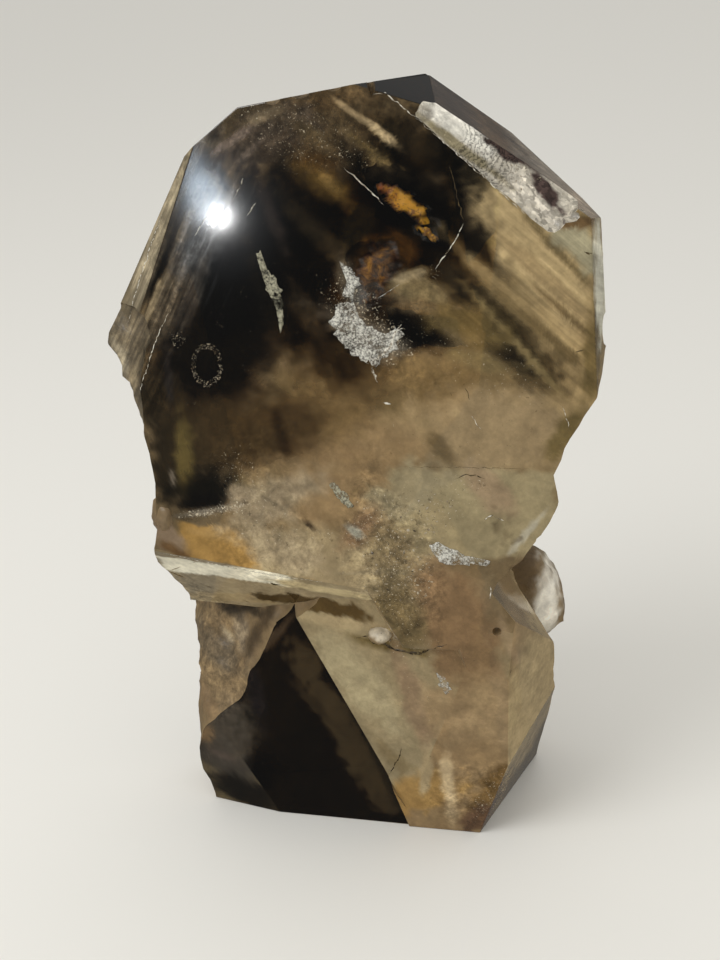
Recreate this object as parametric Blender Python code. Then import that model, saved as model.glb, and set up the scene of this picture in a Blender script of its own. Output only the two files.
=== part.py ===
"""Polished smoky quartz, one solid stone standing on a sawn flat base.

The stone is a broad crystal head on a narrower foot.  Each half starts as a
block of broken quartz with a rough skin, and is then cut by flat faces: the
polished ones in front and round the crown, and plain crystal faces behind.
The halves overlap at the waist, where a rough lump grows on the left and a
clear knob on the right, and all of it is fused into a single closed body.

Working frame: millimetres, +Z up, the sawn base at z = 0, the polished front
looking toward -Y.  The finished solid is moved so that its origin is the
middle of its bounding box at the base.
"""

import bmesh
import bpy
from mathutils import Vector, noise

MM = 0.001                      # millimetres to metres

# Driving dimensions, in millimetres
HEAD_BACK = 24.0                # depth of the head behind the working frame's origin
FOOT_BACK = 20.0                # depth of the foot behind the same line
STEP_DEPTH = 1.8                # drop of the terrace on the back
SKIN_CELL = 3.0                 # spacing of the points on rough skin
SKIN_RELIEF = 1.5               # height of the lumps on rough skin
CHIP_SIZE = 9.0                 # width of one broken chip on rough skin
PALE_STEP = 0.3                 # how far the pale face's edge stands back from the dark one
TOUCHING = 0.03                # points closer than this are one point
FLAT_ANGLE = 0.003              # faces that differ by less than this many radians are one face
BLOCK_REACH = 260.0             # half the side of the raw block that the flat faces cut

# Corners of the polished front of the head
FRONT_LEAN = (-0.173, -0.981, 0.087)
CROWN_LEFT = (-33.4, -12.5, 141.2)
CROWN_PEAK = (-3.0, -16.9, 151.2)
NOTCH_EDGE = (-0.4, -17.6, 149.5)
BEVEL_TOP = (4.8, -18.8, 145.5)
BEVEL_FOOT = (24.2, -23.8, 128.3)
LEDGE_LEFT = (-45.8, -17.0, 65.8)
LEDGE_MIDDLE = (-18.1, -22.3, 61.1)
LEDGE_RIGHT = (-5.2, -25.0, 55.9)
CREASE_MIDDLE = (3.3, -27.3, 47.0)

# Corners behind the front of the head
BEVEL_RIDGE = (8.7, -14.5, 147.0)
LEFT_CORNER = (-54.1, -5.8, 104.6)
ROUGH_CORNER = (-55.6, -4.8, 104.4)
LEFT_STRIP_TOP = (-34.9, -12.4, 137.7)
LEFT_STRIP_MIDDLE = (-42.4, -12.8, 119.8)
PATCH_TOP = (-38.0, -10.9, 113.6)
PATCH_FOOT = (-46.4, -12.6, 96.7)
RIGHT_SHOULDER = (35.7, -13.8, 127.7)
RIGHT_RIM = (37.3, -19.0, 119.0)
RIGHT_STRIP_TOP = (34.1, -26.0, 123.4)
RIGHT_STRIP_FOOT = (34.6, -27.4, 108.6)
RIGHT_ELBOW = (36.2, -26.0, 99.5)
LEDGE_LOW = (-22.5, -11.0, 50.0)
WAIST_BLEND = (14.0, -28.7, 52.5)
WAIST_LEAN = (-0.2, -0.978, -0.035)
STEP_CORNER = (10.5, 17.0, 70.5)

# Corners of the foot
DARK_APEX = (-22.4, -12.0, 49.2)
DARK_LEFT = (-38.2, -8.2, 23.5)
LUMP_SIDE = (-43.4, 6.0, 41.0)
PALE_APEX = (-22.2, -14.0, 50.3)
PALE_TIP = (-4.7, -18.0, 13.1)
PALE_FOOT = (-0.9, -18.0, 0.4)
CREASE_END = (10.0, -27.6, 46.2)
BASE_LEFT = (-42.4, -4.0, 0.0)
BASE_FRONT_LEFT = (-28.0, -10.7, 0.0)
BASE_DARK_END = (-2.7, -16.8, 0.0)
BASE_FRONT = (-2.7, -17.6, 0.0)
BASE_FRONT_RIGHT = (13.6, -21.4, 0.0)
BASE_RIGHT = (31.5, 10.4, 0.0)
FOOT_TOP = (10.0, -28.5, 49.0)
CORNER_TOP = (-37.0, -8.5, 16.0)

# Small features: name, centre, half widths, subdivisions, relief of the skin, skin offset
GROWTHS = (
    ("knob", (26.0, 6.5, 41.0), (8.8, 9.0, 10.8), 3, 1.6, 2.0),
    ("ledge bump", (-44.6, -12.0, 72.0), (3.2, 6.0, 5.2), 2, 0.9, 7.0),
    ("waist lump", (-40.8, 8.6, 47.6), (2.9, 3.6, 3.2), 2, 0.6, 9.0),
    ("crease chip", (-5.0, -22.0, 48.1), (2.4, 2.2, 1.6), 2, 0.3, 4.0),
)
CHIPS = (
    ("crown notch", (-1.9, -13.5, 152.0), (0.9, 9.0, 3.4), 2, 0.1, 1.0),
    ("crown nick left", (-19.0, -14.0, 149.0), (1.6, 3.0, 1.1), 2, 0.1, 2.0),
    ("crown nick middle", (-14.2, -15.0, 149.9), (1.9, 3.0, 1.1), 2, 0.1, 3.0),
    ("crown nick right", (-8.4, -16.0, 150.8), (1.6, 3.0, 1.0), 2, 0.1, 4.0),
    ("shoulder chip", (31.0, -23.5, 128.3), (2.6, 2.0, 1.6), 2, 0.4, 5.0),
    ("right edge chip", (38.6, -20.0, 106.5), (2.2, 3.0, 3.2), 2, 0.4, 6.0),
    ("pit", (16.8, -29.2, 51.6), (0.9, 1.6, 0.9), 2, 0.0, 0.0),
    ("waist dent", (-46.0, 3.0, 28.5), (3.4, 8.0, 3.4), 2, 0.5, 8.0),
)


def point(corner):
    """A corner given in millimetres, as a vector in metres."""
    return Vector(corner) * MM


def face_through(first, second, third, inside=(-5.0, 0.0, 60.0)):
    """A cutting face through three corners, looking away from an inside point."""
    start = point(first)
    normal = (point(second) - start).cross(point(third) - start).normalized()
    if normal.dot(point(inside) - start) > 0.0:
        normal.negate()
    return start, normal


def face_leaning(corner, lean):
    """A cutting face through one corner, looking along a direction."""
    return point(corner), Vector(lean).normalized()


def new_object(name, mesh):
    """Link a mesh to the scene under a name."""
    made = bpy.data.objects.new(name, mesh)
    bpy.context.scene.collection.objects.link(made)
    return made


def cut_block(name, faces):
    """A convex solid left when every cutting face has trimmed a raw block."""
    shape = bmesh.new()
    bmesh.ops.create_cube(shape, size=BLOCK_REACH * MM * 2.0)
    for place, normal in faces:
        everything = shape.verts[:] + shape.edges[:] + shape.faces[:]
        cut = bmesh.ops.bisect_plane(
            shape, geom=everything, dist=1e-7, plane_co=place, plane_no=normal, clear_outer=True)
        rim = [part for part in cut["geom_cut"] if isinstance(part, bmesh.types.BMEdge)]
        if rim:
            bmesh.ops.contextual_create(shape, geom=rim)
    bmesh.ops.recalc_face_normals(shape, faces=shape.faces[:])
    mesh = bpy.data.meshes.new(name)
    shape.to_mesh(mesh)
    shape.free()
    return new_object(name, mesh)


def settle(holder):
    """Replace an object's mesh by what its modifiers make of it."""
    seen = holder.evaluated_get(bpy.context.evaluated_depsgraph_get())
    mesh = bpy.data.meshes.new_from_object(seen)
    holder.modifiers.clear()
    holder.data = mesh
    return holder


def combine(base, tool, operation):
    """Join a tool to a base, cut it away or keep what they share; the tool is used up."""
    change = base.modifiers.new(operation.lower(), 'BOOLEAN')
    change.operation = operation
    change.solver = 'EXACT'
    change.object = tool
    settle(base)
    bpy.data.objects.remove(tool)
    return base


def skin_height(place, relief, offset):
    """Lumps and chips of broken quartz at one place, in metres."""
    where = place / (CHIP_SIZE * MM) + Vector((offset, offset * 0.37, -offset))
    lumps = noise.fractal(where * 0.6, 0.9, 2.1, 4)
    chips = noise.voronoi(where)[0]
    return relief * MM * (0.9 * lumps + 1.1 * (chips[0] - 0.45))


def roughen(holder, cell, relief, offset):
    """Give a block an even mesh and the uneven skin of broken quartz."""
    grid = holder.modifiers.new("even mesh", 'REMESH')
    grid.mode = 'VOXEL'
    grid.voxel_size = cell * MM
    settle(holder)
    mesh = holder.data
    moved = [
        vertex.co + vertex.normal * skin_height(vertex.co, relief, offset)
        for vertex in mesh.vertices
    ]
    for vertex, place in zip(mesh.vertices, moved):
        vertex.co = place
    mesh.update()
    return holder


def front_faces():
    """The polished front: the head's broad face, the foot's and a blend between them."""
    return [
        face_leaning(LEDGE_MIDDLE, FRONT_LEAN),
        face_leaning(WAIST_BLEND, WAIST_LEAN),
        face_through(FOOT_TOP, BASE_FRONT_RIGHT, BASE_FRONT),
    ]


def head_faces():
    """Polished faces round the crown and down the sides, and crystal faces behind."""
    return [
        face_through(LEFT_STRIP_TOP, LEFT_STRIP_MIDDLE, LEFT_CORNER),
        face_leaning(LEFT_CORNER, (-0.80, 0.35, 0.49)),
        face_leaning(CROWN_LEFT, (-0.56, 0.30, 0.77)),
        face_leaning(CROWN_PEAK, (-0.134, 0.156, 0.975)),
        face_leaning(NOTCH_EDGE, (0.29, -0.06, 0.95)),
        face_leaning(BEVEL_RIDGE, (0.58, -0.06, 0.81)),
        face_leaning(RIGHT_SHOULDER, (0.883, 0.469, 0.0)),
        face_leaning(RIGHT_RIM, (0.955, 0.28, 0.05)),
        face_through(RIGHT_STRIP_TOP, RIGHT_STRIP_FOOT, RIGHT_RIM),
        face_leaning((-6.0, HEAD_BACK, 88.0), (0.28, 0.95, 0.15)),
        face_leaning((-6.0, HEAD_BACK, 88.0), (-0.16, 0.97, 0.19)),
        face_leaning((-40.0, HEAD_BACK - 12.0, 90.0), (-0.66, 0.74, 0.06)),
        face_leaning((0.0, HEAD_BACK - 3.5, 70.0), (0.05, 0.98, -0.22)),
        face_leaning(CREASE_MIDDLE, (0.0, 0.0, -1.0)),
    ]


def build_head():
    """The head: broken skin at the sides, cut by the flat faces, with a scoop and an undercut."""
    crown = cut_block("crown", [
        face_leaning((-58.0, 0.0, 112.0), (-0.98, 0.2, 0.0)),
        face_leaning((41.0, -10.0, 112.0), (0.97, 0.20, 0.0)),
        face_leaning((0.0, -45.0, 90.0), (0.0, -1.0, 0.0)),
        face_leaning((0.0, HEAD_BACK + 1.0, 90.0), (0.0, 1.0, 0.0)),
        face_leaning((0.0, 0.0, 160.0), (0.0, 0.0, 1.0)),
        face_leaning(PATCH_TOP, (0.0, 0.1, -0.96)),
    ])
    upper = cut_block("upper head", [
        face_through(PATCH_TOP, PATCH_FOOT, ROUGH_CORNER),
        face_leaning(ROUGH_CORNER, (-0.93, 0.36, 0.0)),
        face_leaning((-54.2, -8.0, 104.0), (-0.88, 0.12, -0.46)),
        face_leaning(RIGHT_ELBOW, (0.84, 0.20, -0.50)),
        face_leaning((39.0, -10.0, 112.0), (0.97, 0.20, 0.0)),
        face_leaning((0.0, -45.0, 90.0), (0.0, -1.0, 0.0)),
        face_leaning((0.0, HEAD_BACK + 1.0, 90.0), (0.0, 1.0, 0.0)),
        face_leaning((0.0, 0.0, 125.0), (0.0, 0.0, 1.0)),
        face_leaning((0.0, 0.0, 76.0), (0.0, 0.0, -1.0)),
    ])
    lower = cut_block("lower head", [
        face_leaning((-46.5, -16.0, 78.0), (-0.98, 0.17, 0.0)),
        face_leaning((27.8, -28.6, 81.0), (0.97, 0.25, 0.06)),
        face_leaning((25.0, -28.9, 73.0), (0.82, 0.25, -0.52)),
        face_leaning((0.0, -45.0, 60.0), (0.0, -1.0, 0.0)),
        face_leaning((0.0, HEAD_BACK - 1.0, 60.0), (0.0, 1.0, 0.0)),
        face_leaning((0.0, 0.0, 106.0), (0.0, 0.0, 1.0)),
        face_leaning((0.0, 0.0, 40.0), (0.0, 0.0, -1.0)),
    ])
    body = combine(combine(upper, lower, 'UNION'), crown, 'UNION')
    roughen(body, SKIN_CELL, SKIN_RELIEF, 3.0)
    combine(body, cut_block("head faces", head_faces()), 'INTERSECT')
    combine(body, build_undercut(), 'DIFFERENCE')
    return combine(body, build_scoop(), 'DIFFERENCE')


def build_undercut():
    """The space under the ledge, left of where the head runs down into the foot."""
    under, away = face_through(LEDGE_LEFT, LEDGE_MIDDLE, LEDGE_LOW)
    return cut_block("undercut", [
        (under, -away),
        face_leaning(LEDGE_RIGHT, (0.86, 0.28, 0.42)),
        face_leaning((0.0, -60.0, 60.0), (0.0, -1.0, 0.0)),
        face_leaning((0.0, 60.0, 60.0), (0.0, 1.0, 0.0)),
        face_leaning((-80.0, 0.0, 60.0), (-1.0, 0.0, 0.0)),
        face_leaning((0.0, 0.0, 20.0), (0.0, 0.0, -1.0)),
    ])


def build_scoop():
    """The frosted break along the edge between the front and the right shoulder."""
    place, away = face_through(BEVEL_TOP, BEVEL_FOOT, BEVEL_RIDGE)
    along = (point(BEVEL_FOOT) - point(BEVEL_TOP)).normalized()
    scoop = cut_block("scoop", [
        (place, -away),
        (point(BEVEL_TOP) - along * 0.5 * MM, -along),
        (point(BEVEL_FOOT) + along * 5.0 * MM, along),
        (place + away * 14.0 * MM, away),
        (place + along.cross(away) * 30.0 * MM, along.cross(away)),
        (place - along.cross(away) * 30.0 * MM, -along.cross(away)),
    ])
    return roughen(scoop, 1.6, 0.5, 5.0)


def foot_faces():
    """Flat faces of the foot: its corners, right side, back and the sawn base."""
    return [
        face_through(BASE_LEFT, BASE_FRONT_LEFT, CORNER_TOP),
        face_leaning((29.6, -14.0, 26.5), (0.77, -0.63, -0.10)),
        face_through(BASE_FRONT_RIGHT, BASE_RIGHT, (30.5, -8.0, 22.6)),
        face_leaning((4.0, FOOT_BACK, 20.0), (0.34, 0.93, 0.12)),
        face_leaning((4.0, FOOT_BACK, 20.0), (-0.20, 0.97, 0.05)),
        face_leaning((0.0, 0.0, 0.0), (0.0, 0.0, -1.0)),
        face_leaning((29.0, -12.0, 42.0), (0.80, 0.0, 0.60)),
    ]


def pale_edge(beyond):
    """The two upright faces along the edge between the dark face and the pale one."""
    upper = face_through(PALE_APEX, PALE_TIP, (-10.0, -10.0, 30.0), inside=(-60.0, -10.0, 30.0))
    lower = face_through(PALE_TIP, PALE_FOOT, (-2.0, -8.0, 6.5), inside=(-60.0, -10.0, 30.0))
    return [(place + away * beyond * MM, away) for place, away in (upper, lower)]


def build_dark_recess():
    """What the dark face in front of the foot is set back by, left of the pale edge."""
    front, away = face_through(DARK_APEX, BASE_FRONT_LEFT, BASE_DARK_END)
    return cut_block("dark recess", [(front, -away)] + pale_edge(0.0) + [
        face_leaning((0.0, -60.0, 30.0), (0.0, -1.0, 0.0)),
        face_leaning((-60.0, 0.0, 30.0), (-1.0, 0.0, 0.0)),
        face_leaning((0.0, 0.0, -20.0), (0.0, 0.0, -1.0)),
        face_leaning((0.0, 0.0, 80.0), (0.0, 0.0, 1.0)),
    ])


def build_pale_cut():
    """What is trimmed off in front of the pale face, right of its edge."""
    front, away = face_through(PALE_APEX, PALE_TIP, CREASE_END)
    upper, right = pale_edge(-PALE_STEP)[0]
    return cut_block("pale cut", [
        (front, -away),
        (upper, -right),
        face_leaning((0.0, -60.0, 30.0), (0.0, -1.0, 0.0)),
        face_leaning((60.0, 0.0, 30.0), (1.0, 0.0, 0.0)),
        face_leaning((0.0, 0.0, -20.0), (0.0, 0.0, -1.0)),
        face_leaning((0.0, 0.0, 80.0), (0.0, 0.0, 1.0)),
    ])


def build_foot():
    """The foot: a rough block trimmed by its flat faces."""
    block = cut_block("foot block", [
        face_leaning((-43.4, 0.0, 16.0), (-0.98, 0.12, -0.09)),
        face_through(DARK_APEX, DARK_LEFT, LUMP_SIDE),
        face_leaning((28.2, -14.0, 40.0), (0.95, 0.28, 0.15)),
        face_leaning((0.0, -45.0, 30.0), (0.0, -1.0, 0.0)),
        face_leaning((0.0, FOOT_BACK, 30.0), (0.0, 1.0, 0.0)),
        face_leaning((0.0, 0.0, 72.0), (0.0, -0.25, 0.97)),
        face_leaning((0.0, 0.0, -6.0), (0.0, 0.0, -1.0)),
    ])
    roughen(block, SKIN_CELL, SKIN_RELIEF, 11.0)
    combine(block, cut_block("foot faces", foot_faces()), 'INTERSECT')
    combine(block, build_pale_cut(), 'DIFFERENCE')
    return combine(block, build_dark_recess(), 'DIFFERENCE')


def build_blob(name, centre, size, finish, relief, offset):
    """A rounded lump of quartz, to be joined on or taken away; sizes are half widths."""
    shape = bmesh.new()
    bmesh.ops.create_icosphere(shape, subdivisions=finish, radius=1.0)
    for vertex in shape.verts:
        outward = vertex.co.normalized()
        place = point(centre) + Vector([outward[axis] * size[axis] * MM for axis in range(3)])
        vertex.co = place + outward * skin_height(place, relief, offset)
    mesh = bpy.data.meshes.new(name)
    shape.to_mesh(mesh)
    shape.free()
    return new_object(name, mesh)


def add_small_growths(stone):
    """The clear knob, the bump and the chip at the ledge's ends and a lump at the waist."""
    for name, centre, size, finish, relief, offset in GROWTHS:
        combine(stone, build_blob(name, centre, size, finish, relief, offset), 'UNION')


def take_back_step(stone):
    """A growth terrace low on the head's back, right of the middle, with a slanting left wall."""
    combine(stone, cut_block("back step", [
        face_leaning((0.0, HEAD_BACK - 3.5 - STEP_DEPTH, 70.0), (-0.05, -0.98, 0.22)),
        face_leaning(STEP_CORNER, (0.0, 0.1, 0.99)),
        face_leaning(STEP_CORNER, (-0.70, 0.0, 0.71)),
        face_leaning((0.0, 60.0, 90.0), (0.0, 1.0, 0.0)),
        face_leaning((60.0, 0.0, 90.0), (1.0, 0.0, 0.0)),
        face_leaning((0.0, 0.0, 49.0), (0.0, 0.0, -1.0)),
    ]), 'DIFFERENCE')


def take_small_chips(stone):
    """The notch and nicks in the crown, the pit and the dents in the sides."""
    for name, centre, size, finish, relief, offset in CHIPS:
        combine(stone, build_blob(name, centre, size, finish, relief, offset), 'DIFFERENCE')


def smoky_quartz_material():
    """See-through brown quartz."""
    material = bpy.data.materials.new("smoky_quartz")
    material.use_nodes = True
    shader = material.node_tree.nodes["Principled BSDF"]
    shader.inputs["Base Color"].default_value = (0.42, 0.33, 0.24, 1.0)
    shader.inputs["Roughness"].default_value = 0.06
    shader.inputs["Metallic"].default_value = 0.0
    shader.inputs["IOR"].default_value = 1.544
    shader.inputs["Transmission Weight"].default_value = 0.9
    return material


def clean(holder):
    """Merge points that nearly touch and join up faces that lie in one plane."""
    shape = bmesh.new()
    shape.from_mesh(holder.data)
    bmesh.ops.remove_doubles(shape, verts=shape.verts[:], dist=TOUCHING * MM)
    bmesh.ops.dissolve_degenerate(shape, edges=shape.edges[:], dist=TOUCHING * MM)
    bmesh.ops.dissolve_limit(
        shape, angle_limit=FLAT_ANGLE, verts=shape.verts[:], edges=shape.edges[:])
    bmesh.ops.triangulate(shape, faces=shape.faces[:])
    shape.to_mesh(holder.data)
    shape.free()


def centre_on_base(holder):
    """Move the mesh so that the origin is its bounding box's middle, at its lowest point."""
    places = [vertex.co for vertex in holder.data.vertices]
    lowest = Vector([min(place[axis] for place in places) for axis in range(3)])
    highest = Vector([max(place[axis] for place in places) for axis in range(3)])
    shift = (lowest + highest) / 2.0
    shift.z = lowest.z
    for vertex in holder.data.vertices:
        vertex.co -= shift
    holder.data.update()


def main():
    """Build the stone."""
    for old in list(bpy.data.objects):
        bpy.data.objects.remove(old)
    stone = combine(build_head(), build_foot(), 'UNION')
    combine(stone, cut_block("front", front_faces()), 'INTERSECT')
    add_small_growths(stone)
    take_back_step(stone)
    take_small_chips(stone)
    clean(stone)
    stone.name = "smoky_quartz"
    stone.data.name = "smoky_quartz"
    centre_on_base(stone)
    stone.data.materials.clear()
    stone.data.materials.append(smoky_quartz_material())


main()
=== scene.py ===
import math

import bmesh
import bpy
import numpy
from mathutils import Matrix, Vector, noise
from mathutils.bvhtree import BVHTree


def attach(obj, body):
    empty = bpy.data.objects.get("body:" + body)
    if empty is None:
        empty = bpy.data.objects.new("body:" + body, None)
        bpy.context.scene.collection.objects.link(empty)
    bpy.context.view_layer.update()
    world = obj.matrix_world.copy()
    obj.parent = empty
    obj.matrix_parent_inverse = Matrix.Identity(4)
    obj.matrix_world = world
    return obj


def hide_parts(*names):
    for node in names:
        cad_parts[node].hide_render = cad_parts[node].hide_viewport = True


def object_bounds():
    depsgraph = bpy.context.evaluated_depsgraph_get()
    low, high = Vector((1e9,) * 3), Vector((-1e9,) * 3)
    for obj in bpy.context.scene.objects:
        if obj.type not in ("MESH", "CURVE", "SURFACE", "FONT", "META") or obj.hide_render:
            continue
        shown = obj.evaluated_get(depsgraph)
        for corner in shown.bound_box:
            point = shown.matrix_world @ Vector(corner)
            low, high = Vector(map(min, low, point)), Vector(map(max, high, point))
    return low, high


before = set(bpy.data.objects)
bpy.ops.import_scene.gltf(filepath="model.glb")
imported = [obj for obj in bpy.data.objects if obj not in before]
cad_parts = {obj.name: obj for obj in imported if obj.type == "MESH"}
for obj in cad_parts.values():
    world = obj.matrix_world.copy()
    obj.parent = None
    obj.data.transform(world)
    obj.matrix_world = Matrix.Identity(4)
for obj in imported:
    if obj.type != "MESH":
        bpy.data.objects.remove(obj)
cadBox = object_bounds()
mm = 0.001
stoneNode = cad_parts["smoky_quartz"]
print("frame loaded")


# the camera

view = dict(
    place=(0.55, -263.06, 185.3),   # mm
    lookDown=23.2,                  # degrees below level
    roll=-3.0,
    lens=54.07,                     # mm
    sensor=36.0,
    dots=(720.0, 960.0),            # across and down the camera's frame
    near=0.005,                     # m
    far=20.0,
)


def cameraTurn():
    tilt = Matrix.Rotation(math.radians(90.0 - view["lookDown"]), 4, 'X')
    return tilt @ Matrix.Rotation(math.radians(view["roll"]), 4, 'Z')


def addCamera():
    data = bpy.data.cameras.new("camera")
    data.lens = view["lens"]
    data.sensor_width = view["sensor"]
    data.clip_start = view["near"]
    data.clip_end = view["far"]
    holder = bpy.data.objects.new("camera", data)
    bpy.context.scene.collection.objects.link(holder)
    holder.matrix_world = Matrix.Translation(Vector(view["place"]) * mm) @ cameraTurn()
    bpy.context.scene.camera = holder


bpy.context.scene.view_settings.view_transform = 'Standard'
addCamera()
print("camera ready")


# markings are placed by dots of the camera's frame and found on the solid

eye = Vector(view["place"]) * mm
sightTurn = cameraTurn().to_3x3()
focal = view["lens"] / view["sensor"] * view["dots"][1]        # dots
solid = BVHTree.FromPolygons(
    [vertex.co.copy() for vertex in stoneNode.data.vertices],
    [tuple(face.vertices) for face in stoneNode.data.polygons])
frontPoint = Vector((-10.245, -19.563, 61.1)) * mm
frontLean = Vector((-0.173, -0.981, 0.087)).normalized()
clearFront = -0.2               # m; well in front of the whole stone


def onStone(across, down):
    # the solid's point behind a dot of the frame, or the front plane's where the sight passes the stone
    sight = sightTurn @ Vector((
        (across - view["dots"][0] / 2.0) / focal, (view["dots"][1] / 2.0 - down) / focal, -1.0))
    found = solid.ray_cast(eye, sight)[0]
    if found is None:
        found = eye + sight * ((frontPoint - eye).dot(frontLean) / sight.dot(frontLean))
    return found


def dotSize(place):
    # metres that one dot of the frame covers at a place
    return (place - eye).length / focal


def skinAt(x, z):
    # the front skin's point at an upright place, metres
    found = solid.ray_cast(Vector((x, clearFront, z)), Vector((0.0, 1.0, 0.0)))[0]
    if found is None:
        found = solid.find_nearest(Vector((x, frontPoint.y, z)))[0]
    return found


# shader maths

class Wire:
    # one output socket; sums on it add Math nodes
    def __init__(self, board, socket):
        self.board = board
        self.socket = socket

    def output(self, key):
        # another output of the same node
        return Wire(self.board, self.socket.node.outputs[key])

    def math(self, operation, *others):
        return self.board.math(operation, self, *others)

    def __add__(self, other):
        return self.math('ADD', other)

    def __radd__(self, other):
        return self.math('ADD', other)

    def __sub__(self, other):
        return self.math('SUBTRACT', other)

    def __rsub__(self, other):
        return self.board.math('SUBTRACT', other, self)

    def __mul__(self, other):
        return self.math('MULTIPLY', other)

    def __rmul__(self, other):
        return self.math('MULTIPLY', other)

    def __rpow__(self, other):
        return self.board.math('POWER', other, self)

    def most(self, other):
        return self.math('MAXIMUM', other)

    def least(self, other):
        return self.math('MINIMUM', other)

    def rise(self, low, high):
        # 0 below low, 1 above high, eased between; low above high turns it round
        ends = {"Value": self, "From Min": low, "From Max": high}
        if low > high:
            ends = {"Value": self, "From Min": high, "From Max": low, "To Min": 1.0, "To Max": 0.0}
        return self.board.node("ShaderNodeMapRange", {"interpolation_type": 'SMOOTHSTEP'}, ends)


class Board:
    # a tree of nodes
    def __init__(self, tree):
        self.tree = tree
        tree.nodes.clear()

    def node(self, kind, settings=None, inputs=None, out=0):
        made = self.tree.nodes.new(kind)
        for name, value in (settings or {}).items():
            setattr(made, name, value)
        pairs = inputs.items() if isinstance(inputs, dict) else enumerate(inputs or ())
        for key, value in pairs:
            socket = made.inputs[key]
            if isinstance(value, Wire):
                self.tree.links.new(value.socket, socket)
            elif isinstance(value, tuple) and len(value) == 3 and socket.type == 'RGBA':
                socket.default_value = value + (1.0,)
            else:
                socket.default_value = value
        return Wire(self, made.outputs[out]) if made.outputs else None

    def math(self, operation, *values):
        return self.node("ShaderNodeMath", {"operation": operation}, values)

    def blend(self, share, first, second):
        # colours: first where share is 0, second where it is 1
        return self.node("ShaderNodeMix", {"data_type": 'RGBA', "clamp_factor": True},
                         {0: share, 6: first, 7: second}, 2)

    def scale(self, colour, share):
        return self.node("ShaderNodeVectorMath", {"operation": 'SCALE'}, {0: colour, "Scale": share})


class Paint(Board):
    # a material's nodes
    def __init__(self, name):
        self.material = bpy.data.materials.new(name)
        self.material.use_nodes = True
        super().__init__(self.material.node_tree)
        self.where = self.node("ShaderNodeTexCoord", out="Object")

    def fit(self, size, turn, seed):
        # object places in units of size, turned about Y; millimetres and degrees
        return self.node("ShaderNodeMapping", {"vector_type": 'TEXTURE'}, {
            "Vector": self.where,
            "Location": (seed * 0.037, seed * -0.053, seed * 0.071),
            "Rotation": (0.0, math.radians(turn), 0.0),
            "Scale": [value * mm for value in size],
        })

    def cloud(self, size, seed=0.0, turn=0.0, detail=3.0, rough=0.55, twist=0.0):
        # noise about 0.5; size in mm, one number or three
        size = size if isinstance(size, tuple) else (size,) * 3
        return self.node("ShaderNodeTexNoise", {}, {
            "Vector": self.fit(size, turn, seed), "Scale": 1.0,
            "Detail": detail, "Roughness": rough, "Distortion": twist})

    def cells(self, size, seed):
        # two random numbers for each cell of a mosaic with bent borders
        place = self.fit((size,) * 3, 0.0, seed)
        bend = self.node("ShaderNodeTexNoise", {}, {
            "Vector": self.fit((size * 0.8,) * 3, 0.0, seed), "Scale": 1.0, "Detail": 1.0}, "Color")
        place = self.node("ShaderNodeVectorMath", {"operation": 'MULTIPLY_ADD'}, (
            bend, (0.9, 0.9, 0.9), place))
        colour = self.node("ShaderNodeTexVoronoi", {}, {"Scale": 1.0, "Vector": place}, "Color")
        first = self.node("ShaderNodeSeparateColor", {}, (colour,))
        return first, first.output(1)

    def field(self, name, out="Fac"):
        # an attribute of the mesh
        return self.node("ShaderNodeAttribute", {"attribute_name": name}, out=out)

    def bump(self, high, height):
        # high: mm that a height of 1 stands out
        return self.node("ShaderNodeBump", {}, {"Strength": 1.0, "Distance": high * mm, "Height": height})

    def surface(self, inputs):
        return self.node("ShaderNodeBsdfPrincipled", {}, inputs)

    def finish(self, shader, volume=None):
        ends = {"Surface": shader, "Volume": volume} if volume else {"Surface": shader}
        self.node("ShaderNodeOutputMaterial", {}, ends)
        return self.material


# the room, its lights and the floor

room = dict(
    colour=(1.0, 0.985, 0.95),
    strength=0.85,
    mirrored=0.11,                  # strength of the room in polished faces
)

shine = (-22.0, -11.0, 129.0)       # mm; where the lamp's hot spot lies on the stone

# area lights: place and size in mm, watts, colour, the place they point at
lamps = dict(
    lamp=dict(place=(-272.0, -556.0, 99.0), size=10.0, power=0.033),
    glow=dict(place=(-279.0, -553.0, 110.0), size=(20.0, 28.0), power=0.021, colour=(0.74, 0.87, 1.0)),
    tip=dict(place=(-286.0, -550.0, 127.0), size=(13.0, 24.0), power=0.006, colour=(0.74, 0.87, 1.0)),
    halo=dict(place=(-276.0, -554.0, 102.0), size=80.0, power=0.0014, colour=(0.8, 0.9, 1.0)),
    softbox=dict(place=(-420.0, -330.0, 620.0), size=420.0, power=2.2, aim=(0.0, 0.0, 90.0)),
)

floorLook = dict(
    radius=3000.0,                  # mm
    sunk=0.05,
    colour=(0.80, 0.79, 0.75),
    roughness=0.7,
)


def addRoom():
    world = bpy.data.worlds.new("studio")
    bpy.context.scene.world = world
    world.use_nodes = True
    board = Board(world.node_tree)
    glossy = board.node("ShaderNodeLightPath", out="Is Glossy Ray")
    mirrored = glossy * glossy.output("Is Reflection Ray")
    strength = board.node("ShaderNodeMapRange", {}, {
        "Value": mirrored, "To Min": room["strength"], "To Max": room["mirrored"]})
    light = board.node("ShaderNodeBackground", {}, {"Color": room["colour"], "Strength": strength})
    board.node("ShaderNodeOutputWorld", {}, {"Surface": light})


def addLamp(name, place, size, power, colour=(1.0, 1.0, 1.0), aim=shine):
    data = bpy.data.lights.new(name, 'AREA')
    data.energy = power
    data.color = colour
    if isinstance(size, tuple):
        data.shape = 'ELLIPSE'
        data.size, data.size_y = size[0] * mm, size[1] * mm
    else:
        data.shape = 'DISK'
        data.size = size * mm
    holder = bpy.data.objects.new(name, data)
    bpy.context.scene.collection.objects.link(holder)
    holder.location = Vector(place) * mm
    holder.rotation_euler = (Vector(aim) * mm - holder.location).to_track_quat('-Z', 'Y').to_euler()


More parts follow.
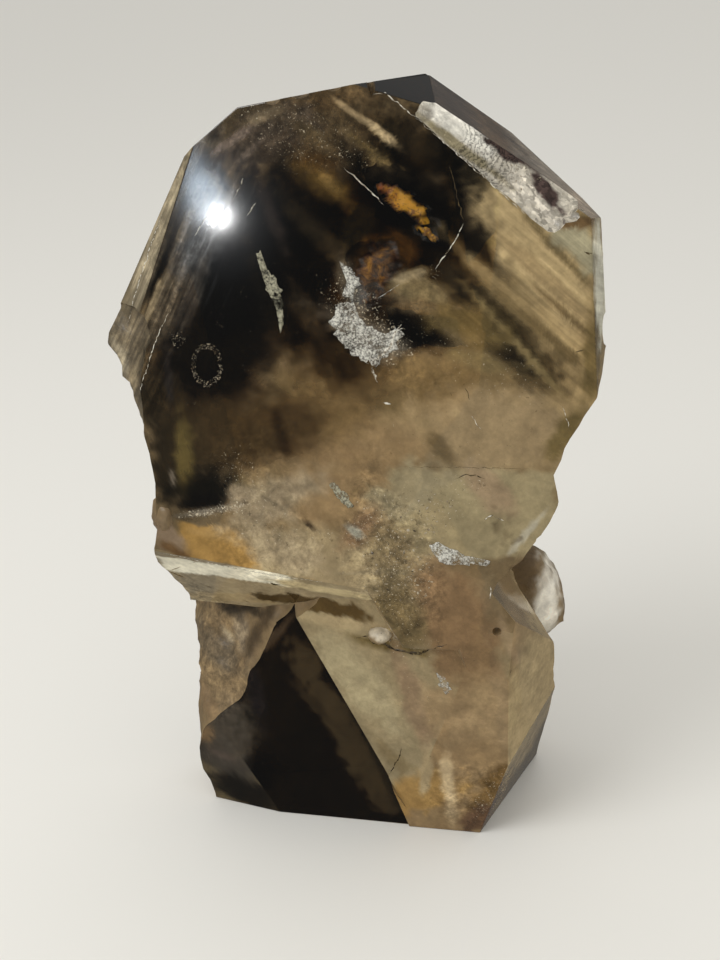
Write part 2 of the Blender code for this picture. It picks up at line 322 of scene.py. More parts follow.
def addFloor():
    shape = bmesh.new()
    bmesh.ops.create_circle(shape, cap_ends=True, segments=96, radius=floorLook["radius"] * mm)
    mesh = bpy.data.meshes.new("floor")
    shape.to_mesh(mesh)
    shape.free()
    floor = bpy.data.objects.new("floor", mesh)
    bpy.context.scene.collection.objects.link(floor)
    floor.location.z = -floorLook["sunk"] * mm
    paint = Paint("pale floor")
    shader = paint.surface({"Base Color": floorLook["colour"], "Roughness": floorLook["roughness"]})
    mesh.materials.append(paint.finish(shader))
    floor.visible_glossy = False


addRoom()
for name, lamp in lamps.items():
    addLamp(name, **lamp)
addFloor()
print("lights and floor ready")


# the stone's mesh

# a number for each kind of face; the broken ones come first
facets = dict(
    skin=1, frost=2, patch=3,
    front=4, waist=5, footFront=6, pale=7, dark=8, ledge=9,
    top=10, outer=11, leftStrip=12, rightStrip=13, other=14,
)

# which way the named faces look
leans = dict(
    front=(-0.173, -0.981, 0.087),
    waist=(-0.2, -0.979, -0.035),
    footFront=(-0.224, -0.962, -0.156),
    pale=(-0.397, -0.913, -0.089),
    dark=(-0.234, -0.972, 0.001),
    ledge=(-0.248, -0.726, -0.641),
    top=(0.291, -0.06, 0.955),
    outer=(0.581, -0.06, 0.812),
    leftStrip=(-0.763, -0.554, 0.332),
    rightStrip=(0.923, -0.38, 0.067),
)

stoneSize = dict(
    polishedArea=45.0,          # mm2; a flat face at least this large is polished
    sameLean=0.9995,            # how closely a large face follows a named lean
    exactLean=0.99999,          # and a small one
    edgeRound=0.2,              # mm
    edgeLength=4.0,             # mm; shorter polished edges stay sharp
    edgeBend=4.0,               # degrees; so do flatter ones
    leastEdge=0.005,            # mm
    plainStep=2.0,              # mm between points, where no other step is given
    skinRelief=0.30,            # mm
    brokenCrease=38.0,          # degrees; where broken skin is shaded sharp
    polishedCrease=3.0,
)

# mm; opposite corners of the boxes that hold two kinds of broken face
brokenBoxes = dict(
    frost=((10.5, -30.0, 121.0), (43.0, -4.0, 148.5)),
    patch=((-46.0, -20.0, 88.0), (-36.0, 4.0, 118.0)),
)

# mm between points, on the faces that carry finer markings
steps = dict(
    skin=0.9, frost=0.42, patch=0.8, front=0.85, waist=0.8, footFront=0.8, pale=0.9, dark=1.0, ledge=0.8,
    leftStrip=0.9, rightStrip=0.9,
)

frostArcs = dict(
    centre=(17.5, -15.0, 145.0),    # mm; the arcs run round this place
    first=4.0,                      # mm from it
    last=13.5,
    fade=3.0,                       # mm over which they come in
    step=0.85,                      # mm from arc to arc
    relief=0.13,
    drift=((3.0, 0.55), (0.9, 0.2)),        # waves in the arcs: size in mm, mm to either side
    crumbs=17.0,                    # mm from the centre, where the break turns crumbly
    crumbRelief=0.42,
    crumbFade=5.0,
    swell=0.16,
    swellSize=3.6,
)

# the sizes of what makes up a broken skin, mm, and how high each stands
brokenShape = dict(
    lumpSize=2.7, lumps=0.8,
    gritSize=0.8, grit=0.3,
    blockSize=3.1, blocks=1.1,
    blockBend=1.7,
    blockMiddle=0.25,
)


def facetOf(face):
    # a face's number: by its lean where it is large and flat, else by its place
    large = face.calc_area() > stoneSize["polishedArea"] * mm * mm
    closeness = stoneSize["sameLean"] if large else stoneSize["exactLean"]
    for name, lean in leans.items():
        if face.normal.dot(Vector(lean).normalized()) > closeness:
            return facets[name]
    if large:
        return facets["other"]
    place = face.calc_center_median()
    for name, (low, high) in brokenBoxes.items():
        if all(low[axis] * mm <= place[axis] <= high[axis] * mm for axis in range(3)):
            return facets[name]
    return facets["skin"]


def eased(value, low, high):
    share = numpy.clip((value - low) / (high - low), 0.0, 1.0)
    return share * share * (3.0 - 2.0 * share)


def brokenHeight(place):
    # height of broken quartz at a place, in parts of its relief
    lumps = noise.noise(place / (brokenShape["lumpSize"] * mm))
    grit = noise.noise(place / (brokenShape["gritSize"] * mm) + Vector((5.0, 3.0, 1.0)))
    bend = Vector((noise.noise(place / (brokenShape["blockBend"] * mm)), 0.0, 0.0)) * 0.5
    reaches = noise.voronoi(place / (brokenShape["blockSize"] * mm) + bend)[0]
    block = reaches[1] - reaches[0] - brokenShape["blockMiddle"]
    return brokenShape["lumps"] * lumps + brokenShape["grit"] * grit + brokenShape["blocks"] * block


def frostHeight(place):
    # shell-like arcs after a smooth start, then crumbs; mm
    reach = (place - Vector(frostArcs["centre"]) * mm).length / mm
    drift = sum(share * noise.noise(place / (size * mm)) for size, share in frostArcs["drift"])
    wave = math.sin((reach + drift) / frostArcs["step"] * math.tau)
    arcs = eased(reach, frostArcs["first"], frostArcs["first"] + frostArcs["fade"])
    arcs *= 1.0 - eased(reach, frostArcs["last"], frostArcs["last"] + 5.0)
    crumbs = eased(reach, frostArcs["crumbs"] - frostArcs["crumbFade"], frostArcs["crumbs"])
    swell = frostArcs["swell"] * noise.noise(place / (frostArcs["swellSize"] * mm))
    return swell + frostArcs["relief"] * arcs * wave + frostArcs["crumbRelief"] * crumbs * brokenHeight(place)


def relief(place, kind):
    # mm that the skin stands out at a place
    if kind == facets["frost"]:
        return frostHeight(place)
    return stoneSize["skinRelief"] * brokenHeight(place)


def splitLong(points, faces, kinds):
    # halves every edge longer than its faces' step, and each touched face's longest edge, until none is left
    reach = numpy.full(len(facets) + 1, stoneSize["plainStep"])
    for name, step in steps.items():
        reach[facets[name]] = step
    reach *= 1.45 * mm          # a halved edge is then about a step long
    corners = numpy.arange(3)
    while True:
        sides = numpy.sort(numpy.stack((faces, faces[:, (corners + 1) % 3]), 2).reshape(-1, 2), 1)
        edges, which = numpy.unique(sides, axis=0, return_inverse=True)
        which = which.reshape(-1, 3)
        length = numpy.linalg.norm(points[edges[:, 0]] - points[edges[:, 1]], axis=1)
        limit = numpy.full(len(edges), numpy.inf)
        numpy.minimum.at(limit, which.ravel(), numpy.repeat(reach[kinds], 3))
        cut = length > limit
        if not cut.any():
            return points, faces, kinds
        longest = which[numpy.arange(len(faces)), numpy.argmax(length[which], axis=1)]
        count = -1
        while count != cut.sum():
            count = cut.sum()
            cut[longest[cut[which].any(axis=1)]] = True
        middle = numpy.full(len(edges), -1)
        middle[cut] = len(points) + numpy.arange(count)
        points = numpy.concatenate((points, (points[edges[cut, 0]] + points[edges[cut, 1]]) / 2.0))
        halves = middle[which]
        number = (halves >= 0).sum(axis=1)
        made, madeKinds = [faces[number == 0]], [kinds[number == 0]]

        def add(chosen, *triangles):
            for triangle in triangles:
                made.append(numpy.stack(triangle, axis=1))
                madeKinds.append(kinds[chosen])

        for first in range(3):
            second, third = (first + 1) % 3, (first + 2) % 3
            one = (number == 1) & (halves[:, first] >= 0)
            a, b, c, m = faces[one, first], faces[one, second], faces[one, third], halves[one, first]
            add(one, (a, m, c), (m, b, c))
            two = (number == 2) & (halves[:, first] < 0)
            a, b, c = faces[two, first], faces[two, second], faces[two, third]
            m, n = halves[two, second], halves[two, third]
            add(two, (c, n, m), (a, b, m), (a, m, n))
        every = number == 3
        (a, b, c), (m, n, o) = faces[every].T, halves[every].T
        add(every, (a, m, o), (m, b, n), (o, n, c), (m, n, o))
        faces, kinds = numpy.concatenate(made), numpy.concatenate(madeKinds)


def dressStone():
    # the solid's faces, with rounded polished edges and a rough broken skin
    shape = bmesh.new()
    shape.from_mesh(stoneNode.data)
    bmesh.ops.remove_doubles(shape, verts=shape.verts[:], dist=1e-6)
    bmesh.ops.dissolve_limit(
        shape, angle_limit=math.radians(0.25), verts=shape.verts[:], edges=shape.edges[:])
    layer = shape.faces.layers.float.new("facet")
    for face in shape.faces:
        face[layer] = facetOf(face)
    broken = {facets["skin"], facets["frost"], facets["patch"]}
    rims = [
        edge for edge in shape.edges
        if edge.calc_length() > stoneSize["edgeLength"] * mm
        and not any(face[layer] in broken for face in edge.link_faces)
        and edge.calc_face_angle(0.0) > math.radians(stoneSize["edgeBend"])
    ]
    bmesh.ops.bevel(
        shape, geom=rims, offset=stoneSize["edgeRound"] * mm, offset_type='OFFSET',
        segments=2, profile=0.5, affect='EDGES', clamp_overlap=False)
    print("edges rounded:", len(rims))
    bmesh.ops.dissolve_degenerate(shape, dist=stoneSize["leastEdge"] * mm, edges=shape.edges[:])
    bmesh.ops.triangulate(shape, faces=shape.faces[:])
    mesh = bpy.data.meshes.new("smoky_quartz_stone")
    shape.verts.index_update()
    points = numpy.array([tuple(vertex.co) for vertex in shape.verts])
    faces = numpy.array([[vertex.index for vertex in face.verts] for face in shape.faces])
    kinds = numpy.array([round(face[layer]) for face in shape.faces])
    shape.free()
    points, faces, kinds = splitLong(points, faces, kinds)
    mesh.from_pydata(points.tolist(), [], faces.tolist())
    mesh.attributes.new("facet", 'FLOAT', 'FACE').data.foreach_set("value", kinds.astype(float))
    shape = bmesh.new()
    shape.from_mesh(mesh)
    layer = shape.faces.layers.float["facet"]
    shape.normal_update()
    low, high = [Vector(corner) for corner in cadBox]
    moved = []
    for vertex in shape.verts:
        around = {face[layer] for face in vertex.link_faces}
        if around <= broken:
            place = vertex.co + vertex.normal * relief(vertex.co, max(around)) * mm
            place = [min(max(value, least), most) for value, least, most in zip(place, low, high)]
            moved.append((vertex, place))
    for vertex, place in moved:
        vertex.co = place
    for face in shape.faces:
        face.smooth = True
    for edge in shape.edges:
        around = {face[layer] for face in edge.link_faces}
        crease = stoneSize["brokenCrease"] if around <= broken else stoneSize["polishedCrease"]
        edge.smooth = edge.calc_face_angle(0.0) < math.radians(crease)
    shape.to_mesh(mesh)
    loose = [edge for edge in shape.edges if not edge.is_manifold]
    print("stone mesh:", len(mesh.polygons), "triangles, open edges:", len(loose))
    shape.free()
    stone = bpy.data.objects.new("smoky_quartz_stone", mesh)
    bpy.context.scene.collection.objects.link(stone)
    return stone


# where the stone is dark, milky, streaked or gritty

def zone(line, half, soft, milk, tone, on=None, square=False):
    # a stroke along a line: half width in dots, softness, share of milky quartz, its colour,
    # and the one kind of face that it is on, where it has one
    return dict(line=line, half=half, soft=soft, milk=milk, tone=tone, on=on, square=square)


# the look of each kind of face before its zones: milk, colour
faceLooks = dict(
    skin=(0.85, (0.24, 0.165, 0.08)),
    frost=(0.85, (0.50, 0.46, 0.38)),
    patch=(0.75, (0.19, 0.15, 0.09)),
    front=(0.6, (0.22, 0.16, 0.085)),
    waist=(0.75, (0.26, 0.20, 0.11)),
    footFront=(0.75, (0.30, 0.21, 0.11)),
    pale=(0.8, (0.31, 0.25, 0.145)),
    dark=(0.06, (0.009, 0.007, 0.005)),
    ledge=(0.75, (0.34, 0.28, 0.18)),
    top=(0.1, (0.006, 0.003, 0.001)),
    outer=(0.6, (0.115, 0.086, 0.068)),
    leftStrip=(0.65, (0.21, 0.17, 0.105)),
    rightStrip=(0.75, (0.40, 0.37, 0.26)),
    other=(0.6, (0.21, 0.16, 0.085)),
)

clearTone = (0.36, 0.36, 0.35)      # the colour that leaves quartz untinted, over an inclusion

zones = dict(
    # broad fields
    rightTan=zone((545, 170, 560, 400), 88, 0.7, 0.72, (0.33, 0.24, 0.115)),
    tanLow=zone((560, 330, 575, 400), 28, 0.9, 0.75, (0.43, 0.31, 0.15)),
    midBrown=zone((290, 405, 480, 395), 60, 0.8, 0.68, (0.20, 0.137, 0.06)),
    midShade=zone((385, 402, 432, 424), 24, 1.0, 0.7, (0.165, 0.115, 0.052)),
    pinkMiddle=zone((440, 432, 545, 435), 42, 0.7, 0.75, (0.34, 0.25, 0.135)),
    pinkLeft=zone((300, 500, 385, 470), 50, 0.7, 0.75, (0.26, 0.18, 0.092)),
    greyGreen=zone((392, 514, 555, 516), 47, 0.12, 0.8, (0.33, 0.27, 0.152), square=True),
    flatPale=zone((388, 505, 425, 480), 25, 0.5, 0.8, (0.30, 0.25, 0.15)),
    lowMilk=zone((270, 560, 420, 590), 46, 0.7, 0.78, (0.33, 0.26, 0.15)),
    crown=zone((225, 122, 420, 112), 48, 0.8, 0.5, (0.105, 0.076, 0.040)),
    crownRight=zone((385, 124, 436, 165), 24, 1.0, 0.3, (0.032, 0.023, 0.011)),
    crownTan=zone((285, 102, 368, 93), 13, 0.9, 0.6, (0.092, 0.062, 0.030)),
    leftGlow=zone((160, 205, 195, 160), 27, 0.9, 0.6, (0.12, 0.105, 0.08)),
    lilac=zone((215, 168, 285, 132), 26, 0.7, 0.5, (0.085, 0.066, 0.047)),
    upperDark=zone((340, 212, 448, 240), 64, 0.8, 0.05, (0.004, 0.0025, 0.0008)),
    middleDark=zone((285, 230, 330, 322), 66, 0.8, 0.05, (0.004, 0.003, 0.0012)),
    nearBlack=zone((215, 250, 205, 400), 66, 0.6, 0.08, (0.009, 0.009, 0.008)),
    leftDark=zone((165, 400, 190, 500), 30, 0.7, 0.35, (0.040, 0.030, 0.016)),
    leftBrown=zone((205, 432, 290, 427), 40, 0.8, 0.45, (0.072, 0.048, 0.021)),
    # the dark bands and light streaks of the right-hand side
    bandOne=zone((455, 125, 478, 255), 23, 1.0, 0.15, (0.005, 0.004, 0.0015)),
    bandOneSpot=zone((474, 205, 482, 246), 14, 1.0, 0.2, (0.022, 0.016, 0.009)),
    bandTwo=zone((475, 296, 548, 372), 18, 1.0, 0.4, (0.075, 0.052, 0.022)),
    bandTwoSpot=zone((490, 332, 512, 362), 14, 1.0, 0.25, (0.045, 0.032, 0.016)),
    bandThree=zone((388, 322, 448, 342), 20, 0.8, 0.08, (0.006, 0.004, 0.002)),
    tanTop=zone((508, 215, 560, 280), 30, 1.0, 0.8, (0.52, 0.39, 0.20)),
    bandFour=zone((445, 264, 462, 296), 12, 0.8, 0.2, (0.036, 0.030, 0.018)),
    streakOne=zone((448, 238, 560, 348), 8, 1.0, 0.7, (0.29, 0.21, 0.10)),
    streakTwo=zone((500, 235, 590, 320), 7, 1.0, 0.75, (0.33, 0.24, 0.12)),
    streakThree=zone((505, 300, 590, 372), 5, 1.0, 0.6, (0.19, 0.135, 0.06)),
    streakFour=zone((520, 210, 595, 290), 4, 1.0, 0.6, (0.23, 0.17, 0.08)),
    streakFive=zone((478, 300, 560, 392), 4, 1.0, 0.7, (0.27, 0.20, 0.09)),
    streakSix=zone((540, 290, 596, 340), 3, 1.0, 0.7, (0.20, 0.14, 0.065)),
    oliveCloud=zone((445, 322, 485, 332), 20, 0.9, 0.65, (0.17, 0.12, 0.045)),
    oliveLight=zone((448, 352, 500, 366), 9, 1.0, 0.7, (0.21, 0.155, 0.07)),
    greenEdge=zone((560, 225, 596, 262), 14, 0.7, 0.8, (0.37, 0.33, 0.21)),
    brownEdge=zone((598, 300, 590, 400), 11, 0.8, 0.6, (0.18, 0.13, 0.052)),
    rimOlive=zone((585, 405, 552, 455), 11, 0.7, 0.6, (0.21, 0.155, 0.062)),
    # the crown's details
    fuzzyOne=zone((336, 100, 362, 120), 3.5, 0.9, 0.85, (0.30, 0.22, 0.12)),
    fuzzyTwo=zone((358, 114, 392, 141), 4.0, 0.9, 0.85, (0.33, 0.25, 0.14)),
    fuzzyThree=zone((352, 136, 386, 166), 4.0, 1.0, 0.6, (0.12, 0.085, 0.036)),
    fuzzyFour=zone((300, 128, 330, 150), 7.0, 1.0, 0.5, (0.10, 0.075, 0.04)),
    amberHaze=zone((312, 172, 344, 194), 17, 0.8, 0.5, (0.105, 0.062, 0.016)),
    amberHazeCore=zone((322, 174, 334, 186), 7, 1.0, 0.7, (0.20, 0.125, 0.04)),
    lilacOne=zone((215, 152, 250, 128), 5, 0.9, 0.6, (0.17, 0.13, 0.10)),
    lilacTwo=zone((232, 168, 262, 140), 4, 0.9, 0.6, (0.16, 0.125, 0.095)),
    lilacThree=zone((250, 122, 276, 112), 5, 0.9, 0.6, (0.17, 0.13, 0.08)),
    smoke=zone((262, 190, 280, 240), 7, 1.0, 0.3, (0.04, 0.03, 0.024)),
    brownVeil=zone((290, 205, 345, 262), 11, 1.0, 0.35, (0.032, 0.023, 0.011)),
    brownVeilTwo=zone((300, 300, 322, 340), 10, 1.0, 0.35, (0.038, 0.027, 0.014)),
    # the deep amber's surroundings and the frosty veil's
    deepAmberGlow=zone((354, 290, 388, 254), 24, 1.0, 0.6, (0.060, 0.027, 0.005)),
    deepAmberWindow=zone((362, 290, 380, 260), 17, 0.6, 0.0, clearTone),
    tanStep=zone((398, 287, 438, 292), 11, 0.7, 0.7, (0.21, 0.16, 0.08)),
    tanStepLight=zone((400, 278, 424, 272), 5, 0.9, 0.8, (0.33, 0.26, 0.15)),
    veilGround=zone((346, 322, 388, 346), 17, 1.0, 0.6, (0.15, 0.13, 0.10)),
    crumbGround=zone((346, 268, 350, 292), 9, 1.0, 0.5, (0.12, 0.10, 0.07)),
    amberWindow=zone((384, 191, 421, 217), 12, 0.3, 0.0, clearTone),
    tailWindow=zone((420, 229, 436, 240), 4, 0.4, 0.0, clearTone),

    # left side
    oliveStripe=zone((182, 425, 186, 488), 9, 1.0, 0.6, (0.15, 0.11, 0.036)),
    greyGleam=zone((166, 338, 170, 395), 4, 1.0, 0.3, (0.035, 0.031, 0.028)),
    combTan=zone((150, 330, 176, 262), 5, 0.9, 0.6, (0.15, 0.115, 0.07)),
    combField=zone((158, 325, 186, 225), 19, 1.0, 0.55, (0.105, 0.084, 0.056)),
    # painted glints: bluish grey where scratches near the lamp's hot spot catch the light
    combBlueGlint=zone((190, 262, 214, 228), 17, 1.0, 0.5, (0.085, 0.088, 0.090)),
    combFoot=zone((180, 330, 205, 262), 9, 1.0, 0.4, (0.050, 0.044, 0.036)),
    combDark=zone((134, 356, 172, 240), 4, 0.9, 0.2, (0.022, 0.017, 0.010)),
    combTanTwo=zone((136, 340, 160, 285), 4, 0.9, 0.7, (0.19, 0.15, 0.09)),
    darkGreen=zone((194, 494, 224, 490), 18, 1.0, 0.3, (0.012, 0.011, 0.007)),
    blackRoot=zone((188, 503, 222, 503), 9, 0.8, 0.2, (0.010, 0.009, 0.007)),
    diagonalSpot=zone((273, 408, 287, 460), 7, 0.9, 0.3, (0.030, 0.020, 0.010)),
    leftWhite=zone((172, 472, 173, 482), 2.5, 1.0, 0.9, (0.14, 0.115, 0.085)),
    # middle and waist
    darkDot=zone((307, 523, 312, 527), 3, 0.9, 0.7, (0.05, 0.035, 0.02)),
    brownSpot=zone((432, 438, 448, 458), 8, 1.0, 0.6, (0.19, 0.138, 0.07)),
    pinkSpot=zone((480, 480, 500, 500), 12, 1.0, 0.75, (0.34, 0.25, 0.15)),
    pinkSpotTwo=zone((372, 515, 350, 540), 12, 1.0, 0.7, (0.26, 0.17, 0.095)),
    ironGround=zone((174, 538, 258, 552), 20, 0.16, 0.9, (0.32, 0.19, 0.058), square=True),
    ironLight=zone((198, 531, 238, 537), 6, 0.9, 0.9, (0.40, 0.25, 0.09)),
    ironEnd=zone((152, 516, 180, 546), 12, 0.5, 0.8, (0.25, 0.18, 0.115)),
    ironShade=zone((166, 545, 186, 556), 5, 0.8, 0.8, (0.15, 0.085, 0.035)),
    whiteBorder=zone((178, 516, 238, 506), 4, 0.7, 0.75, (0.22, 0.19, 0.145)),
    milkFan=zone((250, 508, 300, 486), 24, 0.9, 0.75, (0.30, 0.24, 0.155)),
    milkFanLow=zone((258, 540, 300, 558), 20, 0.9, 0.8, (0.35, 0.28, 0.175)),
    lowTan=zone((262, 576, 330, 584), 5, 0.9, 0.75, (0.34, 0.25, 0.13)),
    granularShade=zone((392, 545, 400, 590), 24, 0.9, 0.65, (0.23, 0.18, 0.10)),
    blueWhite=zone((351, 529, 358, 534), 4, 1.0, 0.85, (0.35, 0.34, 0.27)),
    # painted highlight along the head's lower right edge
    edgeHighlight=zone((541, 516, 505, 560), 4, 0.7, 0.85, (0.42, 0.38, 0.28)),
    # painted shade: the recess between the head and the knob is painted darker brown
    pocketShade=zone((520, 560, 532, 585), 15, 0.5, 0.6, (0.085, 0.055, 0.028)),
    # below the ledge
    lowPink=zone((445, 590, 470, 680), 34, 0.7, 0.75, (0.23, 0.15, 0.078)),
    lowGreen=zone((395, 600, 410, 640), 20, 0.8, 0.65, (0.17, 0.13, 0.065)),
    lowRight=zone((455, 715, 530, 700), 42, 0.7, 0.78, (0.33, 0.235, 0.128)),
    rightGreen=zone((527, 665, 535, 725), 17, 0.6, 0.8, (0.25, 0.19, 0.10)),
    rightGreenTop=zone((510, 640, 535, 690), 7, 0.8, 0.8, (0.30, 0.22, 0.13)),
    footTan=zone((402, 800, 445, 790), 23, 0.6, 0.75, (0.40, 0.25, 0.09)),
    footWhite=zone((447, 765, 451, 812), 7, 0.8, 0.85, (0.60, 0.46, 0.27)),
    footWhiteTwo=zone((428, 757, 424, 790), 5, 0.8, 0.8, (0.40, 0.31, 0.175)),
    dirt=zone((480, 812, 506, 770), 16, 0.7, 0.8, (0.16, 0.098, 0.036)),
    footCorner=zone((470, 825, 490, 808), 11, 0.6, 0.6, (0.14, 0.085, 0.05)),
    darkMark=zone((521, 662, 520, 671), 2.5, 0.5, 0.9, (0.03, 0.02, 0.012)),
    # painted shadow in the crease where the head overhangs the pale face
    creaseShadow=zone((354, 638, 425, 654), 6, 0.8, 0.7, (0.14, 0.102, 0.036)),
    # faces with a look of their own
    paleLight=zone((330, 640, 385, 720), 22, 0.8, 0.85, (0.37, 0.31, 0.185), on="pale"),
    paleTop=zone((300, 616, 385, 632), 8, 0.7, 0.85, (0.37, 0.29, 0.165), on="pale"),
    paleBand=zone((262, 592, 368, 616), 11, 0.3, 0.75, (0.095, 0.060, 0.020), on="pale"),
    palePink=zone((402, 660, 420, 730), 10, 0.9, 0.8, (0.28, 0.20, 0.12), on="pale"),
    paleFoot=zone((380, 745, 402, 765), 9, 0.8, 0.75, (0.26, 0.20, 0.105), on="pale"),
    darkBrown=zone((308, 672, 388, 800), 19, 0.4, 0.6, (0.046, 0.033, 0.016), on="dark"),
    darkBrownTop=zone((300, 690, 340, 730), 5, 1.0, 0.6, (0.030, 0.021, 0.010), on="dark"),
    # painted shadow along the foot of the pale face's proud edge
    darkEdgeShadow=zone((345, 690, 396, 800), 5, 0.9, 0.5, (0.020, 0.015, 0.008), on="dark"),
    # painted reflection: the small lower left facet is painted grey where it mirrors the room
    darkGreyReflection=zone((206, 770, 232, 716), 30, 0.7, 0.5, (0.078, 0.066, 0.050), on="dark"),
    darkPink=zone((210, 790, 255, 792), 8, 0.7, 0.5, (0.12, 0.09, 0.07), on="dark"),
    darkTop=zone((262, 650, 293, 615), 4, 0.8, 0.5, (0.06, 0.042, 0.026), on="dark"),
    darkSheen=zone((250, 655, 262, 720), 8, 1.0, 0.3, (0.018, 0.015, 0.016), on="dark"),
    # the same painted reflection on the small lower left facet
    cornerGreyReflection=zone((214, 700, 222, 800), 44, 0.5, 0.5, (0.080, 0.068, 0.052), on="other"),
    rightNotch=zone((503, 588, 528, 640), 15, 0.6, 0.8, (0.30, 0.215, 0.115), on="other"),
    cornerDark=zone((224, 784, 272, 806), 17, 1.0, 0.35, (0.014, 0.011, 0.007), on="other"),
    cornerPink=zone((208, 798, 226, 802), 5, 0.9, 0.6, (0.115, 0.088, 0.068), on="other"),
    cornerBrown=zone((196, 690, 204, 725), 9, 0.9, 0.7, (0.20, 0.13, 0.065), on="other"),
    # painted light: the face turned to the right, away from the lamps, is painted lighter than it is lit
    rightSideLit=zone((546, 640, 530, 790), 40, 0.4, 0.8, (0.43, 0.33, 0.18), on="other"),
    # painted reflection: the down-facing ledge is painted near white where it mirrors the bright floor below
    ledgeReflection=zone((160, 563, 282, 579), 13, 0.2, 0.92, (0.88, 0.83, 0.66), on="ledge", square=True),
    ledgeTan=zone((190, 596, 276, 599), 9, 0.4, 0.8, (0.37, 0.29, 0.165), on="ledge"),
    # more of the ledge's painted reflection, further to the right
    ledgeReflectionRight=zone((285, 583, 370, 598), 7, 0.7, 0.9, (0.58, 0.47, 0.27), on="ledge"),
    ledgeBrown=zone((272, 597, 366, 613), 11, 0.3, 0.7, (0.060, 0.038, 0.012), on="ledge"),
    outerLight=zone((520, 138, 600, 218), 16, 1.0, 0.8, (0.40, 0.34, 0.27), on="outer"),
    outerBrown=zone((478, 112, 500, 132), 7, 0.9, 0.7, (0.17, 0.115, 0.07), on="outer"),
    outerFoot=zone((570, 205, 588, 208), 10, 0.5, 0.85, (0.50, 0.41, 0.31), on="outer"),
    frostWhite=zone((436, 106, 492, 142), 13, 0.5, 0.92, (0.78, 0.75, 0.66), on="frost"),
    frostFoot=zone((520, 182, 556, 212), 12, 0.6, 0.9, (0.60, 0.55, 0.46), on="frost"),
    frostOlive=zone((425, 120, 500, 178), 4, 0.7, 0.8, (0.28, 0.24, 0.145), on="frost"),
    frostDark=zone((490, 137, 537, 170), 7.5, 0.35, 0.9, (0.055, 0.035, 0.029), on="frost"),
    frostDarkTwo=zone((531, 174, 564, 214), 8.5, 0.35, 0.9, (0.065, 0.042, 0.036), on="frost"),
    chipBrown=zone((560, 222, 592, 212), 5, 0.7, 0.8, (0.16, 0.10, 0.045)),
    rightEdge=zone((598, 228, 602, 335), 9, 0.7, 0.85, (0.85, 0.82, 0.66), on="rightStrip"),
    patchShade=zone((140, 378, 150, 342), 5, 0.9, 0.7, (0.075, 0.058, 0.034), on="patch"),
    stripGlow=zone((128, 322, 188, 168), 12, 0.8, 0.75, (0.30, 0.25, 0.165), on="leftStrip"),
    stripLow=zone((108, 350, 126, 318), 13, 0.8, 0.7, (0.12, 0.095, 0.055), on="leftStrip"),
    patchLight=zone((116, 345, 124, 366), 6, 0.8, 0.9, (0.30, 0.25, 0.165), on="patch"),
    lumpLight=zone((240, 622, 246, 655), 9, 0.8, 0.85, (0.36, 0.275, 0.17), on="skin"),
    lumpDark=zone((213, 602, 232, 610), 9, 0.9, 0.8, (0.062, 0.044, 0.022), on="skin"),
    lumpDarkTwo=zone((244, 606, 264, 616), 8, 0.9, 0.8, (0.062, 0.042, 0.020), on="skin"),
    lumpMiddle=zone((206, 640, 232, 660), 15, 0.8, 0.85, (0.17, 0.125, 0.07), on="skin"),
    lumpEdge=zone((268, 612, 240, 668), 6, 0.9, 0.8, (0.095, 0.062, 0.028), on="skin"),
    lumpCream=zone((226, 632, 232, 640), 5, 1.0, 0.8, (0.34, 0.27, 0.17), on="skin"),
    lumpFoot=zone((206, 700, 222, 725), 11, 0.7, 0.85, (0.25, 0.165, 0.08), on="skin"),
    knobWhite=zone((549, 588, 546, 628), 15, 0.8, 0.95, (0.92, 0.87, 0.75), on="skin"),
    knobTan=zone((540, 548, 556, 568), 12, 0.8, 0.9, (0.30, 0.20, 0.10), on="skin"),
    chipWhite=zone((368, 624, 390, 632), 7, 0.5, 0.95, (0.55, 0.48, 0.36), on="skin"),
)

# how much of a zone without a kind of its own shows on each kind of face, where less than all
keeps = dict(
    skin=0.35, frost=0.0, patch=0.3, top=0.0, outer=0.15, dark=0.0, ledge=0.1, leftStrip=0.3,
)

